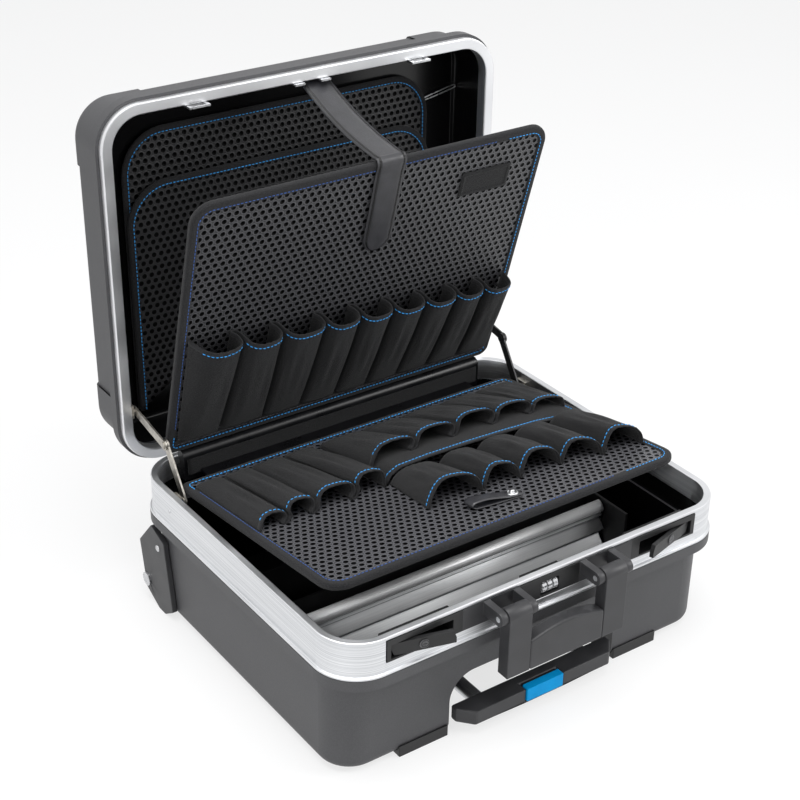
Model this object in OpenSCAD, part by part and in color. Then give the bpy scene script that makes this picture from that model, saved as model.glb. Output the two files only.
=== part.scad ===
// Wheeled tool case with an aluminium frame, a hinged lid, two folding tool pallets,
// draw latches, a carry handle, a combination lock and a telescopic trolley handle.
// X runs across the front, -Y is the latch side, +Y the hinge side, Z is up.
// Every sub-part is drawn in the case frame: y = 0 is the rear face of the band.

/* [Case] */
// Width over the aluminium band
case_w = 490; // [470:1:540]
// Depth over the aluminium band
case_d = 405; // [395:1:450]
// Height of the base rim's top face
rim_z = 166; // [162:1:190]
// Plan radius of the band's corners
corner_r = 46; // [40:1:48]
// Height of the lid from the rim's top face to its back
lid_depth = 70; // [68:1:90]
// Wall of both moulded shells
shell_t = 3; // [2.5:0.5:4]
// How far the shell's side walls stand back from the band
side_inset = 5; // [5:0.5:9]
// How far the shell's front and rear walls stand back from the band
front_inset = 15; // [12:1:16]
// Radius of the shell's bottom edge
bottom_r = 11; // [8:1:14]
// Radius of the lid's back edge
lid_edge_r = 9; // [7:1:14]
// How far the lid's side walls stand back from the band
lid_side = 3.5; // [3:0.5:6]
// How far the lid's latch and hinge walls stand back from the band
lid_front = 10; // [7:1:12]
// How far the lid's four corners stand proud of its walls
corner_proud = 2; // [1:0.5:2.5]
// Gap under the shell, taken up by the feet
ground_gap = 3; // [2:0.5:5]

/* [Aluminium frame] */
// Height of the base band
band_h = 42; // [40:1:46]
// Width of the base rim's top face
rim_face = 8; // [8:0.5:10]
// Width of the lid rim's face
lid_face = 12; // [11:0.5:12]
// Sheet of the band's walls
band_t = 2; // [1.6:0.2:2.4]
// How far the band's lower lip flares out
flare = 3; // [2:0.5:3]
// Seam between the two rims when the lid is shut
seam = 0.3; // [0.2:0.1:0.6]

/* [Hinge] */
// Distance of the hinge axis behind the band
hinge_out = 3.2; // [3.2:0.1:5]
// Distance of the hinge axis below the rim's top face
hinge_down = 19; // [17:1:22]
// Angle at which the stays stop the lid
lid_open = 90; // [85:1:95]
// Radius of the hinge pin
hinge_pin_r = 1.5; // [1.2:0.1:1.8]
// Radius of the hinge knuckles
knuckle_r = 3; // [2.8:0.1:3]
// Spacing of the three hinges
hinge_pitch = 150; // [120:5:160]

/* [Latches and lock] */
// Gap between the row of plates in the front band and the band's side
plates_side = 49; // [48:1:60]
// Half width of the lock plate
lock_half = 38; // [30:1:40]
// Half width up to the outer edge of the bracket plates
bracket_edge = 108; // [104:1:110]
// Angle of the latch levers when open
latch_open = 15; // [8:1:18]
// Radius of the key cylinders
key_r = 5; // [4:0.5:6]
// Radius of the digit wheels
digit_r = 7; // [6:0.5:7]
// Width of one digit wheel
digit_w = 5; // [4:0.5:6]

/* [Carry handle] */
// Distance of each handle arm from the middle
arm_x = 61; // [58:1:64]
// Width of a handle arm
arm_w = 28; // [22:1:30]
// Drop of the handle below its pivot
handle_drop = 70; // [60:1:75]
// Radius of the arm's barrel
barrel_r = 9; // [8:0.5:9.5]
// Distance of the handle's pivot in front of the band
handle_out = 23; // [21:1:25]

/* [Trolley] */
// Half width of the trolley grip's front
grip_half = 88; // [80:1:95]
// Height of the trolley grip
grip_h = 17; // [15:1:19]
// Distance of each telescopic tube from the middle
tube_x = 68; // [60:1:75]
// Outer radius of the fixed tube
tube_r = 11; // [10:0.5:12]
// Wall of each telescopic tube
tube_t = 1.4; // [1.2:0.1:1.6]
// Running clearance between the tubes
tube_gap = 0.1; // [0.05:0.05:0.2]
// Depth of the arched bay behind the grip
bay_d = 75; // [66:1:85]
// Half width of the bay
bay_half = 108; // [106:1:112]
// Height of the bay
bay_top = 69; // [60:1:72]
// Radius of the wheels
wheel_r = 25; // [22:1:26]
// Width of the wheels
wheel_w = 22; // [18:1:23]

/* [Tool pallets] */
// Gap between the upper pallet's side and the band's outer face
upper_side = 27; // [26:1:40]
// What the upper pallet's height falls short of the case's depth
upper_short = 79; // [75:1:100]
// Tilt of the upper pallet from the floor, front down
upper_tilt = 106; // [100:1:110]
// Gap between the lower pallet's side and the band's outer face
lower_side = 23; // [23:1:40]
// What the lower pallet's length falls short of the case's depth
lower_short = 107; // [102:1:120]
// Tilt of the lower pallet, front up
lower_tilt = 7.2; // [5:0.2:7.6]
// Board of both pallets
board_t = 5; // [4:0.5:5]
// Width of the sewn binding round a pallet
binding_w = 6; // [5:0.5:8]
// Depth of the upper tool pockets
upper_pocket_t = 8; // [7:0.5:8]
// Depth of the lower tool pockets
lower_pocket_t = 10; // [8:0.5:10]
// Cloth of the pockets
cloth_t = 1.5; // [1:0.25:2]
// Number of upper tool pockets
upper_pockets_n = 9; // [7:1:10]
// Height of the first upper pocket's hem over the hinge line
upper_hem = 158; // [140:1:158]
// How much the last hem lies below the first
hem_fall = 30; // [20:1:36]

/* [Document pockets] */
// Depth of each document pocket
doc_gap = 4.5; // [4.2:0.1:5]
// Corner radius of both document pockets
doc_r = 50; // [40:1:55]
// Gap between the pockets' sides and the band's outer face
doc_side = 49; // [44:1:70]
// What the rear pocket's height falls short of the case's depth
doc_rear_short = 81; // [75:1:100]
// How much lower the front pocket ends
doc_step = 56; // [45:1:70]

/* [Hidden] */
$fn = 64;

// Colours of the materials
abs_grey = "#4a4b4d";
alu = "#c9cbcd";
plastic_black = "#232425";
cloth_black = "#2b2b2d";
steel = "#b9b5ad";
blue = "#0a94d0";

// Clearance between a part and the hole or slot that it sits in
fit = 0.05;
// Overrun that carries a cut cleanly past a face
cut = 1;
// Number of sides of the round children of a hull
hull_fn = 32;

// Heights and depths that follow from the sizes above
front_y = -case_d;
half_w = case_w / 2;
body_w = case_w - 2 * side_inset;
body_d = case_d - 2 * front_inset;
body_r = corner_r - (side_inset + front_inset) / 2;
band_z = rim_z - band_h;
lip_h = 12;
lip_out = 3;
lip_z = band_z - lip_h;
body_top = lip_z - 4;
mid_y = -case_d / 2;
neck_w = case_w - 2 * band_t - 2 * fit;
neck_d = case_d - 2 * band_t - 2 * fit;
neck_r = corner_r - band_t - fit;
skirt_t = 1.6;
base_skirt_h = 26;
lid_skirt_h = 14;
top_t = 2.5;
opening_half = half_w - rim_face;
floor_z = ground_gap + shell_t;
body_front = front_y + front_inset;

// Hinge axis, and the place of the whole case about the origin
hinge_y = hinge_out;
hinge_z = rim_z - hinge_down;
lid_y = hinge_y + hinge_down;
handle_front = front_y - handle_out - barrel_r;
y_shift = -(handle_front + lid_y + lid_depth) / 2;

// Row of plates in the front band
plates_half = half_w - plates_side;
plate_lo = band_z + 13;
plate_hi = rim_z - 4;
housing_hi = rim_z - 8;
plate_out = 0.6;
plate_face = front_y - plate_out;
plate_back = front_y + band_t + fit;
housing_back = front_y + 19;
housing_t = 2;
housing_in = bracket_edge + 4;
housing_out = plates_half - 3;
lock_housing_half = lock_half - 14;
lock_housing_lo = plate_lo + 1;
plate_mid = (plate_lo + plate_hi) / 2;
lock_z = plate_mid - 2;

// Latch levers
latch_pivot_x = plates_half - 18;
latch_pivot_y = front_y + 5.5;
latch_inner_x = bracket_edge + 14;
latch_outer_x = plates_half - 8;
latch_edge = 3.5;
latch_lo = plate_lo + latch_edge;
latch_hi = housing_hi - latch_edge;
latch_barrel_r = 3.5;
latch_play = 3;
latch_cant = 8;
latch_t = 4.6;
latch_pin_r = 1.5;
key_x = (latch_inner_x + latch_outer_x) / 2;
key_out = 0.8;

// Handle pivot
handle_y = front_y - handle_out;
handle_z = rim_z - 12;
handle_pin_r = 3;
ear_w = 8;
ear_r = 7.5;
arm_play = 0.2;
arm_t = 15;
grip_side = 34;
grip_crown = 8;
grip_steps = 12;

// Trolley
grip_front = front_y - 4;
grip_back = grip_front + 24;
tube_z = 22;
bay_r = 30;
bay_back = body_front + bay_d;
tube_lap = 6;
tube_rear = -81;
tube_len = tube_rear - (bay_back - tube_lap);
saddle_w = 40;
saddle_d = 18;
saddle_top = 3;
saddle_inset = 25;
mid_r = tube_r - tube_t - tube_gap;
inner_r = mid_r - tube_t - tube_gap;
button_half = 24;
button_travel = 4;

// Wheels and their housings
wheel_y = -14;
wheel_z = wheel_r + 1;
axle_r = 4;
wheel_room = 15;
well_in = half_w - wheel_room - wheel_w;
well_front = wheel_y - wheel_r - 14;
well_top = wheel_z + wheel_r + 12;
housing_x = half_w - 4;
housing_wall = 6;

// Pivots of the pallets and their carrier
upper_y = -18;
upper_z = rim_z + 16;
lower_y = -56;
lower_z = rim_z - 8;
pallet_r = 24;
upper_half = half_w - upper_side;
upper_len = case_d - upper_short;
lower_half = half_w - lower_side;
lower_len = case_d - lower_short;
piping_r = 3.4;
piping_gap = 0.3;
piping_end = 9;
carrier_half = half_w - 45;
strap_x = 10;
strap_w = 36;
strap_t = 2.4;
binding_t = board_t + 1;

// Stays: base pivot, elbow and lid pivot of the open case
stay_base = [-72, rim_z - 14];
stay_elbow = [-38, rim_z + 38];
stay_lid = [lid_y + 4, rim_z + 50];
stay_x = half_w - 20.5;
link_t = 2;
link_w = 10;
link_gap = 0.5;
bracket_x = stay_x + 2 * link_t + 2 * link_gap + 1;
stay_pin_r = 2;

// ---------------------------------------------------------------- helpers

// Moves a sub-part from the case frame to the part's own frame
module place() translate([0, y_shift, 0]) children();

// Carries what is drawn on the shut lid to the open lid
module on_lid() place() translate([0, hinge_y, hinge_z]) rotate([-lid_open, 0, 0])
    translate([0, -hinge_y, -hinge_z]) children();

// Local frame of the upper pallet: y up the board's middle plane, z out of its front
module on_upper() place() translate([0, upper_y, upper_z]) rotate([upper_tilt, 0, 0]) children();

// Local frame of the lower pallet: y towards the front in the board's middle plane, z down
module on_lower() place() translate([0, lower_y, lower_z]) rotate([180 - lower_tilt, 0, 0])
    children();

// Rectangle with four round corners about the middle of the case
module plan_2d(w, d, r) {
    square([w - 2 * r, d], center = true);
    square([w, d - 2 * r], center = true);
    for (sx = [-1, 1], sy = [-1, 1])
        translate([sx * (w / 2 - r), sy * (d / 2 - r)]) circle(r);
}

// Flat ring between two such rectangles
module ring(w, d, r, t, z0, z1) translate([0, mid_y, z0]) linear_extrude(z1 - z0)
    difference() {
        plan_2d(w, d, r);
        plan_2d(w - 2 * t, d - 2 * t, r - t);
    }

// Solid plate with round corners
module slab(w, d, r, z0, z1) translate([0, mid_y, z0]) linear_extrude(z1 - z0) plan_2d(w, d, r);

// Profile of a round corner with a rounded foot, for turning
module foot_profile(r, z0, z1, edge) {
    translate([0, z0]) square([r - edge, edge]);
    translate([0, z0 + edge]) square([r, z1 - z0 - edge]);
    intersection() {
        translate([r - edge, z0 + edge]) circle(edge);
        translate([0, z0]) square([r, edge]);
    }
}

// Tub with a rounded edge at z0 that stands open towards z1
module tub(w, d, r, z0, z1, edge) {
    for (sx = [-1, 1], sy = [-1, 1]) translate([sx * (w / 2 - r), mid_y + sy * (d / 2 - r), 0])
        rotate_extrude() foot_profile(r, z0, z1, edge);
    translate([0, mid_y + d / 2 - r, 0]) rotate([90, 0, 0]) linear_extrude(d - 2 * r) union() {
        foot_profile(w / 2, z0, z1, edge);
        mirror([1, 0]) foot_profile(w / 2, z0, z1, edge);
    }
    translate([-w / 2 + r, mid_y, 0]) rotate([90, 0, 90]) linear_extrude(w - 2 * r) union() {
        foot_profile(d / 2, z0, z1, edge);
        mirror([1, 0]) foot_profile(d / 2, z0, z1, edge);
    }
}

// Block from two corners
module block(a, b) translate(a) cube(b - a);

// Cylinder along X between two planes
module bar_x(x0, x1, y, z, r) translate([x0, y, z]) rotate([0, 90, 0]) cylinder(h = x1 - x0, r = r);

// Cylinder along Y between two planes
module bar_y(y0, y1, x, z, r) translate([x, y0, z]) rotate([-90, 0, 0]) cylinder(h = y1 - y0, r = r);

// Draws children once on each side of the case
module both_sides() {
    children();
    mirror([1, 0, 0]) children();
}

// Arched outline of the trolley bay, seen from the front
module bay_2d(grow) {
    hw = bay_half + grow;
    top = bay_top + grow;
    translate([-hw, -cut]) square([2 * hw, top - bay_r + cut]);
    translate([-hw + bay_r, -cut]) square([2 * (hw - bay_r), top + cut]);
    for (s = [-1, 1]) translate([s * (hw - bay_r), top - bay_r]) circle(bay_r);
}

module bay(grow) translate([0, bay_back + grow, 0]) rotate([90, 0, 0])
    linear_extrude(bay_d + grow + front_inset) bay_2d(grow);

// Space of a wheel in the rear bottom corner on the left
module wheel_well(grow) block([-half_w, well_front - grow, -cut],
    [-well_in + grow, front_inset, well_top + grow]);

// ---------------------------------------------------------------- base

// Openings behind the plates that let the latch and lock housings in
module housing_cuts(grow) {
    both_sides() block([housing_in - grow, front_y + 2 * fit, plate_lo + 1 - grow],
        [housing_out + grow, housing_back, housing_hi + grow]);
    block([-lock_housing_half - grow, front_y + 2 * fit, lock_housing_lo - grow],
        [lock_housing_half + grow, housing_back, housing_hi + grow]);
}

module base_shell() place() color(abs_grey) difference() {
    union() {
        tub(body_w, body_d, body_r, ground_gap, body_top, bottom_r);
        slab(case_w + 2 * lip_out, case_d + 2 * lip_out, corner_r + lip_out, lip_z, band_z);
        slab(case_w - side_inset, case_d - front_inset, (corner_r + body_r) / 2, body_top - cut, lip_z);
        slab(neck_w, neck_d, neck_r, band_z - cut, rim_z - top_t - fit);
    }
    difference() {
        union() {
            tub(body_w - 2 * shell_t, body_d - 2 * shell_t, body_r - shell_t, floor_z,
                lip_z + shell_t + cut, bottom_r - shell_t);
            slab(neck_w - 2 * shell_t, neck_d - 2 * shell_t, neck_r - shell_t, lip_z + shell_t, rim_z);
        }
        bay(shell_t);
        both_sides() wheel_well(shell_t);
    }
    bay(0);
    both_sides() wheel_well(0);
    housing_cuts(fit);
    both_sides() {
        bar_x(-well_in - cut, -well_in + shell_t + cut, wheel_y, wheel_z, axle_r + fit / 2);
        bar_y(bay_back - cut, bay_back + shell_t + cut, tube_x, tube_z, tube_r + fit / 2);
    }
}

module base_rim() place() color(alu) difference() {
    union() {
        ring(case_w, case_d, corner_r, band_t, band_z, rim_z);
        ring(case_w, case_d, corner_r, rim_face, rim_z - top_t, rim_z);
        ring(case_w - 2 * (rim_face - skirt_t), case_d - 2 * (rim_face - skirt_t),
            corner_r - rim_face + skirt_t, skirt_t, rim_z - base_skirt_h, rim_z);
        ring(case_w + 2 * flare, case_d + 2 * flare, corner_r + flare, flare + band_t,
            band_z, band_z + 3);
    }
    block([-plates_half - fit, front_y - flare - cut, plate_lo - fit],
        [plates_half + fit, front_y + band_t + fit, plate_hi + fit]);
    housing_cuts(fit);
}

// Front plate between two distances from the middle, on the right side
module plate(x0, x1) block([x0 + fit, plate_face, plate_lo], [x1 - fit, plate_back - fit, plate_hi]);

module latch_plate() difference() {
    union() {
        plate(bracket_edge, plates_half);
        block([housing_in, plate_back - fit, plate_lo + 1], [housing_out, housing_back, housing_hi]);
    }
    difference() {
        block([latch_inner_x - latch_play, plate_face - cut, latch_lo - 1],
            [latch_outer_x + latch_play, housing_back - housing_t, latch_hi + 1]);
        translate([latch_pivot_x, latch_pivot_y, plate_lo]) cylinder(h = band_h, r = latch_pin_r);
    }
}

module latch_plate_left() place() color(plastic_black) mirror([1, 0, 0]) latch_plate();
module latch_plate_right() place() color(plastic_black) latch_plate();

// Fork that carries one end of the handle, with its base plate
module handle_bracket() difference() {
    union() {
        plate(lock_half, bracket_edge);
        for (s = [-1, 1]) {
            inner = arm_x + s * (arm_w / 2 + arm_play);
            outer = inner + s * ear_w;
            block([min(inner, outer), handle_y, handle_z - ear_r],
                [max(inner, outer), plate_face, handle_z + ear_r]);
            bar_x(min(inner, outer), max(inner, outer), handle_y, handle_z, ear_r);
        }
    }
    bar_x(lock_half, bracket_edge, handle_y, handle_z, handle_pin_r + fit / 2);
}

module handle_bracket_left() place() color(plastic_black) mirror([1, 0, 0]) handle_bracket();
module handle_bracket_right() place() color(plastic_black) handle_bracket();

module handle_pins() place() color(steel) both_sides()
    bar_x(arm_x - arm_w / 2 - ear_w, arm_x + arm_w / 2 + ear_w, handle_y, handle_z, handle_pin_r);

// Centre of the digit wheels
digit_y = front_y + 5;
digit_pitch = digit_w + 2;
digit_pin_r = 1.5;

module lock_plate() place() color(plastic_black) difference() {
    union() {
        block([-lock_half + fit, plate_face, plate_lo], [lock_half - fit, plate_back - fit, plate_hi]);
        block([-lock_housing_half, plate_back - fit, lock_housing_lo],
            [lock_housing_half, housing_back, housing_hi]);
    }
    difference() {
        block([-1.5 * digit_pitch - 1, plate_face - cut, lock_z - digit_r - 1],
            [1.5 * digit_pitch + 1, housing_back - housing_t, lock_z + digit_r + 1]);
        bar_x(-lock_half, lock_half, digit_y, lock_z, digit_pin_r);
    }
}

foot_w = 60;
foot_d = 48;
foot_h = 13;
foot_out = 2;

// Profile of a front foot that follows the shell's rounded bottom edge
module foot_2d() difference() {
    translate([body_front - foot_out, 0]) square([foot_d, foot_h]);
    translate([body_front + bottom_r, ground_gap + bottom_r]) circle(bottom_r + fit);
    translate([body_front + bottom_r, ground_gap - fit]) square(foot_d);
    translate([body_front - fit, ground_gap + bottom_r]) square(foot_d);
}

module front_feet() place() color(plastic_black) both_sides()
    translate([bay_half + foot_out, 0, 0]) rotate([90, 0, 90]) linear_extrude(foot_w) foot_2d();

// Corners of a wheel housing seen from the side: y from the axle, z from the ground
housing_corners = [[3, 14], [13, 72], [-17, 106], [-44, 96], [-56, 12], [-38, 0], [-24, 0]];

module housing_2d() translate([wheel_y, 0]) polygon(housing_corners);

// Blocks that stand off the shell's straight wall, below and above
block_z = ground_gap + bottom_r;
block_h = 14;
block_y = well_front - 13;
block_d = 12;
peak_block_z = well_top + 4;
peak_block_h = 18;
peak_block_y = wheel_y - 24;
peak_block_d = 18;

module wheel_housing() difference() {
    union() {
        translate([-housing_x, 0, 0]) rotate([90, 0, 90]) mirror([0, 0, 1])
            linear_extrude(housing_wall) housing_2d();
        block([-housing_x, peak_block_y - peak_block_d, peak_block_z],
            [-half_w + side_inset, peak_block_y, peak_block_z + peak_block_h]);
        block([-housing_x, block_y, block_z], [-half_w + side_inset, block_y + block_d, block_z + block_h]);
    }
    bar_x(-half_w - 2 * housing_wall, -half_w + side_inset, wheel_y, wheel_z, axle_r + fit / 2);
}

module wheel_housing_left() place() color(plastic_black) wheel_housing();
module wheel_housing_right() place() color(plastic_black) mirror([1, 0, 0]) wheel_housing();

module wheel_axles() place() color(steel) both_sides() {
    bar_x(-housing_x - housing_wall, -well_in + shell_t, wheel_y, wheel_z, axle_r);
    bar_x(-housing_x - housing_wall - 2, -housing_x - housing_wall, wheel_y, wheel_z, 2 * axle_r);
}

// Round tube along Y, on both sides of the middle
module tube_pair(y0, len, r, bore) both_sides() difference() {
    bar_y(y0, y0 + len, tube_x, tube_z, r);
    bar_y(y0 - cut, y0 + len + cut, tube_x, tube_z, bore);
}

module trolley_outer_tubes() place() color(alu) tube_pair(bay_back - tube_lap, tube_len, tube_r,
    tube_r - tube_t);

// Saddles that hold the tubes down on the shell's floor and carry the floor plate
module tube_saddles() place() color(plastic_black) both_sides()
    for (y = [bay_back + saddle_inset, tube_rear - saddle_d]) difference() {
        block([tube_x - saddle_w / 2, y, floor_z], [tube_x + saddle_w / 2, y + saddle_d, plate_z]);
        bar_y(y - cut, y + saddle_d + cut, tube_x, tube_z, tube_r + fit / 2);
    }

plate_z = tube_z + tube_r + saddle_top;
plate_t = 3;
plate_front = bay_back + shell_t + 2;
plate_rear = well_front - shell_t - 2;
plate_half = half_w - side_inset - shell_t - 2;
side_wall_x = half_w - 55;
front_room = 133;
rail_y = front_y + front_room;
rail_groove = 6;
groove_d = 2;
rail_t = 6;
divider_drop = 54;
divider_top = rim_z - divider_drop;
divider_t = 3;
board_first = 26;
board_pitch = 62;
board_places = [rail_y + board_first, rail_y + board_first + board_pitch];

module floor_plate() place() color(plastic_black)
    block([-plate_half, plate_front, plate_z], [plate_half, plate_rear, plate_z + plate_t]);

// Grooved aluminium rail across the tool compartment
module divider_rail() place() color(alu) difference() {
    block([-plate_half, rail_y, plate_z + plate_t], [side_wall_x, rail_y + rail_t, divider_top]);
    for (z = [divider_top - 2 * rail_groove, divider_top - 5 * rail_groove]) {
        block([-half_w, rail_y - cut, z], [half_w, rail_y + groove_d, z + rail_groove]);
        block([-half_w, rail_y + rail_t - groove_d, z], [half_w, rail_y + rail_t + cut, z + rail_groove]);
    }
}

module divider_boards() place() color(plastic_black) {
    for (y = board_places)
        block([-plate_half, y, plate_z + plate_t], [side_wall_x, y + divider_t, divider_top]);
    block([side_wall_x, plate_front, plate_z + plate_t],
        [side_wall_x + divider_t, plate_rear, divider_top]);
}

// Rounded profile behind the opening, and the shelf in front of it, that carry both pallets
carrier_y = -20;
carrier_r = 7;
carrier_top = upper_z - piping_r - piping_gap;
carrier_foot = rim_z - base_skirt_h + 4;
shelf_half = carrier_half - 19;
shelf_top = lower_z - piping_r - piping_gap;

module pallet_carrier() place() color(plastic_black) {
    block([-carrier_half, carrier_y - carrier_r, carrier_foot],
        [carrier_half, carrier_y + 4, carrier_top - carrier_r]);
    bar_x(-carrier_half, carrier_half, carrier_y, carrier_top - carrier_r, carrier_r);
    block([-carrier_half, carrier_y, carrier_foot], [carrier_half, -rim_face - fit, carrier_foot + 12]);
    block([-shelf_half, lower_y - 6, shelf_top - 4], [shelf_half, carrier_y - carrier_r + cut, shelf_top]);
}

knuckle_w = 16;
leaf_t = 1.2;

// Knuckles of one hinge between two distances along the axis
module knuckle(x0, x1) difference() {
    bar_x(x0, x1, hinge_y, hinge_z, knuckle_r);
    bar_x(x0 - cut, x1 + cut, hinge_y, hinge_z, hinge_pin_r + fit);
}

knuckle_gap = 4 * fit;
leaf_back = hinge_y - hinge_pin_r - knuckle_gap;
leaf_foot = band_z + flare + 1;

module hinge_base_leaves() place() color(steel) for (i = [-1:1]) translate([i * hinge_pitch, 0, 0]) {
    for (x = [-1.5 * knuckle_w, knuckle_w / 2 + knuckle_gap]) {
        knuckle(x, x + knuckle_w - knuckle_gap);
        block([x, fit, leaf_foot], [x + knuckle_w - knuckle_gap, leaf_back, hinge_z]);
    }
    block([-1.5 * knuckle_w, fit, leaf_foot], [1.5 * knuckle_w, leaf_back, hinge_z - knuckle_r - 1]);
}

module hinge_pins() place() color(steel) for (i = [-1:1]) translate([i * hinge_pitch, 0, 0])
    bar_x(-1.5 * knuckle_w, 1.5 * knuckle_w, hinge_y, hinge_z, hinge_pin_r);

module stay_base_brackets() place() color(steel) both_sides() {
    block([bracket_x, stay_base.x - 8, stay_base.y - 12], [opening_half, stay_base.x + 8, stay_base.y + 8]);
    bar_x(stay_x, bracket_x, stay_base.x, stay_base.y, stay_pin_r);
    bar_x(stay_x + link_t + link_gap / 2, bracket_x, stay_base.x, stay_base.y, 2 * stay_pin_r);
}

// ---------------------------------------------------------------- lid, drawn shut

lid_z = rim_z + seam;
lid_top = rim_z + lid_depth;
lid_lip_z = lid_z + 8;
lid_ledge_z = lid_lip_z + lip_h - shell_t;
lid_r = corner_r - (lid_side + lid_front) / 2;
corner_l = 75;

// Blank recess for a name plate in the lid's latch side
nameplate_half = 34;
nameplate_h = 12;
nameplate_d = 1.2;
nameplate_z = lid_top - 46;

// The lid's shell is a tub turned upside down, its walls moved out by grow
module lid_tub(grow, foot, top) translate([0, 0, top]) mirror([0, 0, 1])
    tub(case_w - 2 * (lid_side - grow), case_d - 2 * (lid_front - grow), lid_r + grow, 0, top - foot,
        lid_edge_r + min(grow, 0));

// Corners that stand proud of the lid's walls
module lid_corners() intersection() {
    lid_tub(corner_proud, lid_ledge_z, lid_top);
    for (sx = [-1, 1], sy = [-1, 1]) translate([sx * half_w, mid_y + sy * case_d / 2, lid_top])
        cube([2 * corner_l, 2 * corner_l, 2 * lid_depth], center = true);
}

module lid_shell() on_lid() color(abs_grey) difference() {
    union() {
        lid_tub(0, lid_ledge_z, lid_top);
        lid_corners();
        slab(case_w + 2 * lip_out, case_d + 2 * lip_out, corner_r + lip_out, lid_lip_z, lid_lip_z + lip_h);
        slab(neck_w, neck_d, neck_r, lid_z + top_t + fit, lid_lip_z + cut);
    }
    union() {
        lid_tub(-shell_t, lid_ledge_z - cut, lid_top - shell_t);
        slab(neck_w - 2 * shell_t, neck_d - 2 * shell_t, neck_r - shell_t, lid_z, lid_ledge_z);
    }
    block([-nameplate_half, front_y + lid_front - cut, nameplate_z],
        [nameplate_half, front_y + lid_front + nameplate_d, nameplate_z + nameplate_h]);
}

module lid_rim() on_lid() color(alu) {
    ring(case_w, case_d, corner_r, band_t, lid_z, lid_lip_z);
    ring(case_w, case_d, corner_r, lid_face, lid_z, lid_z + top_t);
    ring(case_w - 2 * (lid_face - skirt_t), case_d - 2 * (lid_face - skirt_t),
        corner_r - lid_face + skirt_t, skirt_t, lid_z, lid_z + lid_skirt_h);
}

module hinge_lid_leaves() on_lid() color(steel) for (i = [-1:1]) translate([i * hinge_pitch, 0, 0]) {
    knuckle(-knuckle_w / 2 + knuckle_gap, knuckle_w / 2 - knuckle_gap);
    difference() {
        block([-knuckle_w / 2 + knuckle_gap, seam, hinge_z],
            [knuckle_w / 2 - knuckle_gap, seam + leaf_t, lid_lip_z - fit]);
        bar_x(-knuckle_w, knuckle_w, hinge_y, hinge_z, hinge_pin_r + fit);
    }
    block([-1.5 * knuckle_w, seam, lid_z + seam], [1.5 * knuckle_w, seam + leaf_t, lid_lip_z - fit]);
    block([-knuckle_w, fit, lid_z + 2], [knuckle_w, seam, lid_z + 5]);
}

loop_x = 137;
hook_x = 16;
loop_t = 2;
loop_drop = 7.6;
loop_bar = 2;
loop_front = front_y + lid_face + fit;

// Two rectangular loops for the latches and two hooks for the lock
module catch_loops() on_lid() color(steel) both_sides() {
    difference() {
        block([loop_x - 12, loop_front, rim_z - loop_drop],
            [loop_x + 12, loop_front + loop_t, lid_z + lid_skirt_h]);
        block([loop_x - 8, loop_front - cut, rim_z - loop_drop + loop_bar],
            [loop_x + 8, loop_front + loop_t + cut, rim_z]);
    }
    block([hook_x - 6, loop_front, rim_z - 4], [hook_x + 6, loop_front + loop_t, lid_z + lid_skirt_h]);
}

// Pocket panel on the lid's back: sheet, sides and closed end near the hinge
doc_half = half_w - doc_side;
doc_end = -30;
doc_wall = 4;
doc_rear_len = case_d - doc_rear_short;
doc_front_len = doc_rear_len - doc_step;

module doc_2d(len, r) {
    translate([-doc_half, doc_end - len + r]) square([2 * doc_half, len - r]);
    translate([-doc_half + r, doc_end - len]) square([2 * (doc_half - r), r + cut]);
    for (s = [-1, 1]) translate([s * (doc_half - r), doc_end - len + r]) circle(r);
}

module document_pocket(len, z) difference() {
    translate([0, 0, z]) linear_extrude(doc_gap + cloth_t) doc_2d(len, doc_r);
    translate([-doc_half + doc_wall, doc_end - len - cut, z + cloth_t])
        cube([2 * (doc_half - doc_wall), len - doc_wall, doc_gap + cut]);
}

module document_pocket_rear() on_lid() color(cloth_black)
    document_pocket(doc_rear_len, lid_top - shell_t - doc_gap - cloth_t);
module document_pocket_front() on_lid() color(cloth_black)
    document_pocket(doc_front_len, lid_top - shell_t - 2 * (doc_gap + cloth_t));

// Lid pivot of the stays, taken back to the shut lid
lid_arm = stay_lid - [hinge_y, hinge_z];
stay_lid_shut = [hinge_y + lid_arm.x * cos(lid_open) - lid_arm.y * sin(lid_open),
    hinge_z + lid_arm.x * sin(lid_open) + lid_arm.y * cos(lid_open)];

module stay_lid_brackets() on_lid() color(steel) both_sides() {
    block([bracket_x, stay_lid_shut.x - 8, lid_z + 1],
        [half_w - lid_face - fit, stay_lid_shut.x + 8, lid_z + lid_skirt_h]);
    bar_x(stay_x + link_t + link_gap, bracket_x, stay_lid_shut.x, stay_lid_shut.y, stay_pin_r);
}

// Point of the upper pallet's frame in the case's YZ plane
function upper_point(y, z) = [upper_y + y * cos(upper_tilt) - z * sin(upper_tilt),
    upper_z + y * sin(upper_tilt) + z * cos(upper_tilt)];

// Retaining strap between the lid's latch side and the pallet's top edge
strap_foot = upper_point(upper_len + strap_t + 4 * fit, 2);
strap_anchor = [lid_y + 10, hinge_z + case_d + hinge_y - lid_face - loop_t - strap_t - 6 * fit];

module retaining_strap() place() color(plastic_black) {
    run = strap_anchor - strap_foot;
    translate([strap_x - strap_w / 2, strap_foot.x, strap_foot.y]) rotate([atan2(run.y, run.x), 0, 0])
        cube([strap_w, norm(run), strap_t]);
}

// ---------------------------------------------------------------- upper pallet

// Outline of a pallet with two round corners at its free end
module pallet_2d(half, len, r, start) {
    translate([-half, start]) square([2 * half, len - start - r]);
    translate([-half + r, start]) square([2 * (half - r), len - start]);
    for (s = [-1, 1]) translate([s * (half - r), len - r]) circle(r);
}

module board(half, len) translate([0, 0, -board_t / 2]) linear_extrude(board_t)
    pallet_2d(half - binding_w - fit, len - binding_w - fit, pallet_r - binding_w, binding_w + fit);

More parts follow.
